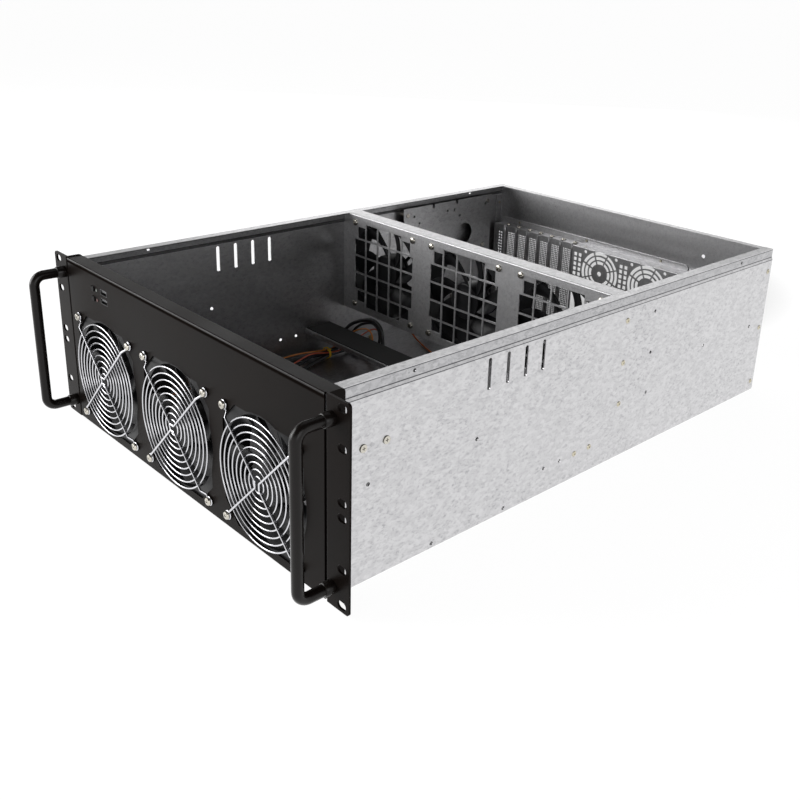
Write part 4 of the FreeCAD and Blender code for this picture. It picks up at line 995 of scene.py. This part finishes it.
# ---------------------------------------------------------------- wiring
# Thickness and length of each cord, and its route in millimetres: right of the middle, behind the ears'
# face and above the floor.
ROUTES = {
    "harness_cable_1": (0.0046, 0.4855, [
        (-172, 26.6, 12), (-172, 48, 12), (-173.5, 76, 7.5), (-177, 112, 4), (-185, 156, 3.9),
        (-191, 204, 3.9), (-196, 246, 3.9), (-190, 280, 4.9), (-181.7, 304, 7.3), (-186.5, 324, 6.3),
        (-196, 338, 12), (-196.5, 345, 26), (-183, 346, 38), (-164, 345, 47), (-143, 344, 54.5),
        (-128.5, 343, 52.5), (-120, 342, 42.5), (-119.5, 341.5, 29.5), (-115.5, 342, 17), (-107, 343, 8.5),
        (-95, 343.5, 4.8), (-80, 343.5, 4.8)]),
    "harness_cable_2": (0.0036, 0.4858, [
        (-46, 26.6, 12), (-46, 46, 12), (-52, 72, 6), (-70, 106, 3.4), (-100, 142, 3.4), (-132, 178, 3.4),
        (-160, 216, 3.4), (-177, 254, 4.4), (-180.8, 284, 10.2), (-179.6, 308, 10.8), (-181, 327, 12),
        (-184, 341, 19), (-179, 346, 31), (-168, 346, 40), (-154.5, 346, 46.5), (-142, 345.5, 49.5),
        (-131.5, 345, 45.5), (-127, 344, 36), (-128.5, 343.5, 25.5), (-134, 343.5, 16), (-142, 344, 9),
        (-152, 344.5, 5), (-162, 344.5, 5)]),
    "harness_cable_3": (0.0046, 0.4825, [
        (92, 26.6, 12), (92, 48, 12), (86, 80, 6), (64, 116, 3.9), (22, 152, 3.9), (-34, 178, 3.9),
        (-88, 195, 3.9), (-134, 214, 3.9), (-159, 238, 3.9), (-168, 268, 4.8), (-177.1, 302, 7),
        (-180, 326, 5.4), (-184.5, 347, 4.8), (-189, 364, 4.8)]),
    "harness_wire_1": (0.0020, 0.4232, [
        (-190, 26.6, 12), (-190, 44, 12), (-193, 70, 6.5), (-198, 106, 2.5), (-203, 146, 2.5),
        (-205, 186, 2.5), (-204, 222, 4.5), (-199.5, 252, 8.6), (-194.5, 276, 10.4), (-184.1, 300, 10.9),
        (-184.5, 318, 10.6), (-187.5, 331, 15.5), (-181.5, 339.5, 25), (-170, 342, 33), (-158, 341.5, 38.5),
        (-147, 340.8, 41.5), (-137.5, 340, 38), (-134.5, 339, 29), (-136, 338.5, 18.5), (-141, 339.3, 9.5),
        (-151, 340.5, 5), (-162, 340.5, 5)]),
    "harness_wire_2": (0.0020, 0.4517, [
        (-62, 26.6, 12), (-62, 42, 12), (-68, 62, 6), (-86, 90, 2.5), (-113, 123, 2.5), (-143, 154, 2.5),
        (-164, 190, 2.5), (-174, 226, 4.4), (-178, 256, 9.4), (-179.5, 279, 14.4), (-176.4, 300, 10.2),
        (-172, 317, 10.5), (-170.5, 331, 16), (-167, 342, 24), (-158.5, 348, 32), (-148.5, 350, 39),
        (-138.5, 350, 41), (-131.5, 350, 35.5), (-130, 350, 26), (-133, 349.5, 16.5), (-140, 348.5, 9),
        (-151, 348.5, 5), (-162, 348.5, 5)]),
    "fan_wall_wire": (0.0022, 0.1856, [
        (-170, 380.8, 60), (-170, 391, 60), (-172, 403, 54), (-175, 414, 43), (-175, 424, 28),
        (-169, 432, 13), (-155, 431, 4.2), (-138, 426, 2.8), (-119, 419, 2.7), (-100, 413.5, 2.9),
        (-81, 410, 4.6), (-63, 410, 4.6)]),
}
# Name and width of the plug at the end of a cord.
PLUGS = {
    "harness_cable_1": ("plug_of_cable_1", 0.008),
    "harness_cable_2": ("plug_of_cable_2", 0.013),
    "harness_cable_3": ("plug_of_cable_3", 0.008),
    "fan_wall_wire": ("plug_of_fan_wall_wire", 0.008),
}
PLUG_LENGTH, PLUG_HEIGHT = 0.015, 0.006
PLUG_EDGE = 0.0006
PLUG_WALL, PLUG_POCKET = 0.0009, 0.004
LATCH_PLACE, LATCH_SIZE = (0.001, 0, 0.0027), (0.008, 0.0022, 0.0010)
# The tie's band and, from its middle, its head.
TIE_BAND, TIE_INSET, TIE_STEPS = 0.0009, 0.0005, 40
TIE_HEAD_PLACE, TIE_HEAD_SIZE = (0.0045, 0, 0.0053), (0.0042, 0.0034, 0.0022)
TIE_HEAD_TURN, TIE_HEAD_EDGE = math.radians(-40), 0.0004


def routed(points):
    return [Vector((x * MM, y * MM + EAR_FACE, z * MM)) for x, y, z in points]


class CASE_OT_wiring(bpy.types.Operator):
    """Lay the fan cables and wires, with their plugs and their tie"""

    bl_idname = "case.wiring"
    bl_label = "Fan Wiring"

    def execute(self, context):
        plugs = self.plugs()
        for name, (diameter, real_length, points) in ROUTES.items():
            line = routed(points)
            curve = bpy.data.curves.new(name + "_line", "CURVE")
            curve.dimensions = "3D"
            curve.bevel_depth = diameter / 2
            curve.bevel_resolution = 3
            curve.use_fill_caps = True
            curve.resolution_u = 8
            spline = curve.splines.new("NURBS")
            spline.points.add(len(line) - 1)
            for point, place in zip(spline.points, line):
                point.co = (*place, 1.0)
            spline.order_u = 3
            spline.use_endpoint_u = True
            spline.use_smooth = True
            piece = new_object(name + "_line", curve)
            curve.materials.append(finish_of(name))
            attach(piece, ROOT)
            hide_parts(name)
        self.tie()
        return {"FINISHED"}

    def plugs(self):
        """Nylon plugs with a latch rib and a cavity in the outer face."""
        made = {}
        for cable, (name, width) in PLUGS.items():
            line = routed(ROUTES[cable][2])
            way = (line[-1] - line[-2]).normalized()
            size = Vector((PLUG_LENGTH, width, PLUG_HEIGHT))
            bm = bmesh.new()
            block(bm, Matrix.Identity(4), size, PLUG_EDGE)
            far = max(bm.faces, key=lambda face: face.calc_center_median().x)
            bmesh.ops.inset_individual(bm, faces=[far], thickness=PLUG_WALL)
            bmesh.ops.translate(bm, verts=far.verts, vec=(-PLUG_POCKET, 0, 0))
            block(bm, Matrix.Translation(LATCH_PLACE), LATCH_SIZE)
            turn = Matrix((way, Vector((0, 0, 1)).cross(way), (0, 0, 1))).transposed().to_4x4()
            place = Matrix.Translation(line[-1] + way * size.x / 2) @ turn
            bmesh.ops.transform(bm, matrix=place, verts=bm.verts)
            made[cable] = make_piece(name, bm, "harness_plugs", replaces=not made)
        return made

    def tie(self):
        """Band with its square head."""
        low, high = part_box("harness_tie")
        place = middle("harness_tie")
        bm = bmesh.new()
        profile = (Matrix.Translation((high.x - TIE_INSET, place.y, place.z))
                   @ Matrix.Diagonal((TIE_BAND, high.y - low.y, 1.0, 1.0)))
        square = bmesh.ops.create_grid(bm, x_segments=1, y_segments=1, size=0.5, matrix=profile)
        bmesh.ops.delete(bm, geom=bm.faces[:], context="FACES_ONLY")
        whole_turn(bm, edges_of(square["verts"]), place, TIE_STEPS)
        head = Matrix.Translation(place + Vector(TIE_HEAD_PLACE)) @ Matrix.Rotation(TIE_HEAD_TURN, 4, "Y")
        block(bm, head, TIE_HEAD_SIZE, TIE_HEAD_EDGE)
        make_piece("harness_tie_band", bm, "harness_tie")


# ---------------------------------------------------------------- stage
# Place and size of each soft lamp, whose power is a setting.
LAMPS = {"key": ((2.1, -0.9, 0.75), 1.2), "front": ((-1.65, -1.7, 0.9), 1.7),
         "back": ((-1.7, 1.75, 0.85), 1.8), "top": ((-0.3, 0.3, 1.9), 1.5)}
# The floor's deeper shade: how far right of the middle and behind the case, half widths and soft edge.
SHADE_RIGHT, SHADE_BEHIND = -0.17, 0.22
SHADE_SIZE = (0.30, 0.34, 1.0)
SHADE_EDGE = (0.45, 0.95)
# Between these heights of a direction, the light from all sides fades to the light from overhead.
FADE = (0.20, 0.50)


def camera_axes(stage):
    """Right, up and forward directions of the camera."""
    level = math.cos(stage.pitch)
    forward = Vector((-math.sin(stage.yaw) * level, math.cos(stage.yaw) * level, -math.sin(stage.pitch)))
    right = Vector((math.cos(stage.yaw), math.sin(stage.yaw), 0))
    up = right.cross(forward)
    cos, sin = math.cos(stage.roll), math.sin(stage.roll)
    return right * cos + up * sin, up * cos - right * sin, forward


class CASE_OT_stage(bpy.types.Operator):
    """Set up the white floor, the soft lamps and the camera"""

    bl_idname = "case.stage"
    bl_label = "Stage"

    def execute(self, context):
        stage = context.scene.case_stage
        self.floor(stage)
        self.world(stage)
        self.lamps(stage)
        self.camera(stage)
        context.scene.view_settings.view_transform = "Standard"
        return {"FINISHED"}

    def floor(self, stage):
        bm = bmesh.new()
        bmesh.ops.create_circle(bm, cap_ends=True, radius=stage.floor_radius, segments=96)
        mesh = bpy.data.meshes.new("floor")
        bm.to_mesh(mesh)
        bm.free()
        new_object("floor", mesh)
        material, tree, shader, place = start_material("White Floor")
        feed(tree, shader, {"Base Color": (*stage.floor, 1.0), "Roughness": 0.9, "Specular IOR Level": 0.1})
        rays = add(tree, "ShaderNodeLightPath").outputs
        glossy = rays["Is Glossy Ray"]
        seen = maths(tree, "MAXIMUM", rays["Is Camera Ray"], glossy)
        spot = add(tree, "ShaderNodeMapping", vector_type="TEXTURE")
        feed(tree, spot, {"Vector": place, "Location": (SHADE_RIGHT, CAD_BOUNDS[1].y + SHADE_BEHIND, 0.0),
                          "Scale": SHADE_SIZE})
        far = add(tree, "ShaderNodeVectorMath", {0: spot.outputs["Vector"]}, operation="LENGTH")
        kept = ramp(tree, far.outputs["Value"], *SHADE_EDGE, 1.0 - stage.rear_shadow, 1.0 - stage.shadow)
        lit = maths(tree, "MAXIMUM", maths(tree, "MULTIPLY", seen, kept), glossy)
        white = ramp(tree, glossy, 0.0, 1.0, stage.glow, stage.bounce)
        glow = add(tree, "ShaderNodeEmission", {"Strength": white})
        mix = add(tree, "ShaderNodeMixShader", {0: lit, 1: shader.outputs[0], 2: glow.outputs[0]})
        tree.links.new(mix.outputs[0], tree.nodes["Material Output"].inputs["Surface"])
        mesh.materials.append(material)

    def world(self, stage):
        world = bpy.data.worlds.new("White Studio")
        world.use_nodes = True
        tree = world.node_tree
        way = add(tree, "ShaderNodeTexCoord").outputs["Generated"]
        falling = ramp(tree, upright(tree, way), *FADE, stage.backdrop, stage.ceiling)
        camera = add(tree, "ShaderNodeLightPath").outputs["Is Camera Ray"]
        unseen = maths(tree, "MULTIPLY", falling, maths(tree, "SUBTRACT", 1.0, camera))
        feed(tree, tree.nodes["Background"], {"Color": (1.0, 1.0, 1.0, 1.0),
                                              "Strength": maths(tree, "ADD", unseen, camera)})
        bpy.context.scene.world = world

    def lamp(self, name, place, aim, size, power):
        data = bpy.data.lights.new(name, "AREA")
        data.shape = "SQUARE"
        data.size = size
        data.energy = power
        lamp = new_object(name, data)
        lamp.location = place
        lamp.rotation_mode = "QUATERNION"
        lamp.rotation_quaternion = (aim - Vector(place)).to_track_quat("-Z", "Y")

    def lamps(self, stage):
        aim = (CAD_BOUNDS[0] + CAD_BOUNDS[1]) / 2
        for name, (place, size) in LAMPS.items():
            self.lamp(name + "_lamp", place, aim, size, getattr(stage, name + "_power"))

    def camera(self, stage):
        data = bpy.data.cameras.new("camera")
        data.sensor_width = 36.0
        data.lens = stage.lens
        data.shift_x = stage.shift_x
        data.shift_y = stage.shift_y
        data.clip_start = 0.01
        data.clip_end = 200.0
        camera = new_object("camera", data)
        right, up, forward = camera_axes(stage)
        turn = Matrix((right, up, -forward)).transposed().to_4x4()
        camera.matrix_world = Matrix.Translation((stage.aside, EAR_FACE - stage.ahead, stage.height)) @ turn
        bpy.context.scene.camera = camera


class VIEW3D_PT_server_case(bpy.types.Panel):
    """Sizes, colours and steps of the server case"""

    bl_label = "Server Case"
    bl_space_type = "VIEW_3D"
    bl_region_type = "UI"
    bl_category = "Server Case"

    def draw(self, context):
        for step in STEPS:
            self.layout.operator(step.bl_idname)
        for holder, kind in SETTINGS.items():
            area = self.layout.box()
            group = getattr(context.scene, holder)
            for key in kind.__annotations__:
                area.prop(group, key)


STEPS = (CASE_OT_finishes, CASE_OT_handles, CASE_OT_guards, CASE_OT_screws, CASE_OT_rivets,
         CASE_OT_covers, CASE_OT_fan_wall, CASE_OT_wiring, CASE_OT_stage)
CLASSES = (*SETTINGS.values(), *STEPS, VIEW3D_PT_server_case)


def register():
    for kind in CLASSES:
        bpy.utils.register_class(kind)
    for holder, kind in SETTINGS.items():
        setattr(bpy.types.Scene, holder, PointerProperty(type=kind))


def unregister():
    for holder in SETTINGS:
        delattr(bpy.types.Scene, holder)
    for kind in reversed(CLASSES):
        bpy.utils.unregister_class(kind)


def main():
    register()
    bpy.ops.case.finishes()
    bpy.ops.case.handles()
    bpy.ops.case.guards()
    bpy.ops.case.screws()
    bpy.ops.case.rivets()
    bpy.ops.case.covers()
    bpy.ops.case.fan_wall()
    bpy.ops.case.wiring()
    bpy.ops.case.stage()


if __name__ == "__main__":
    main()
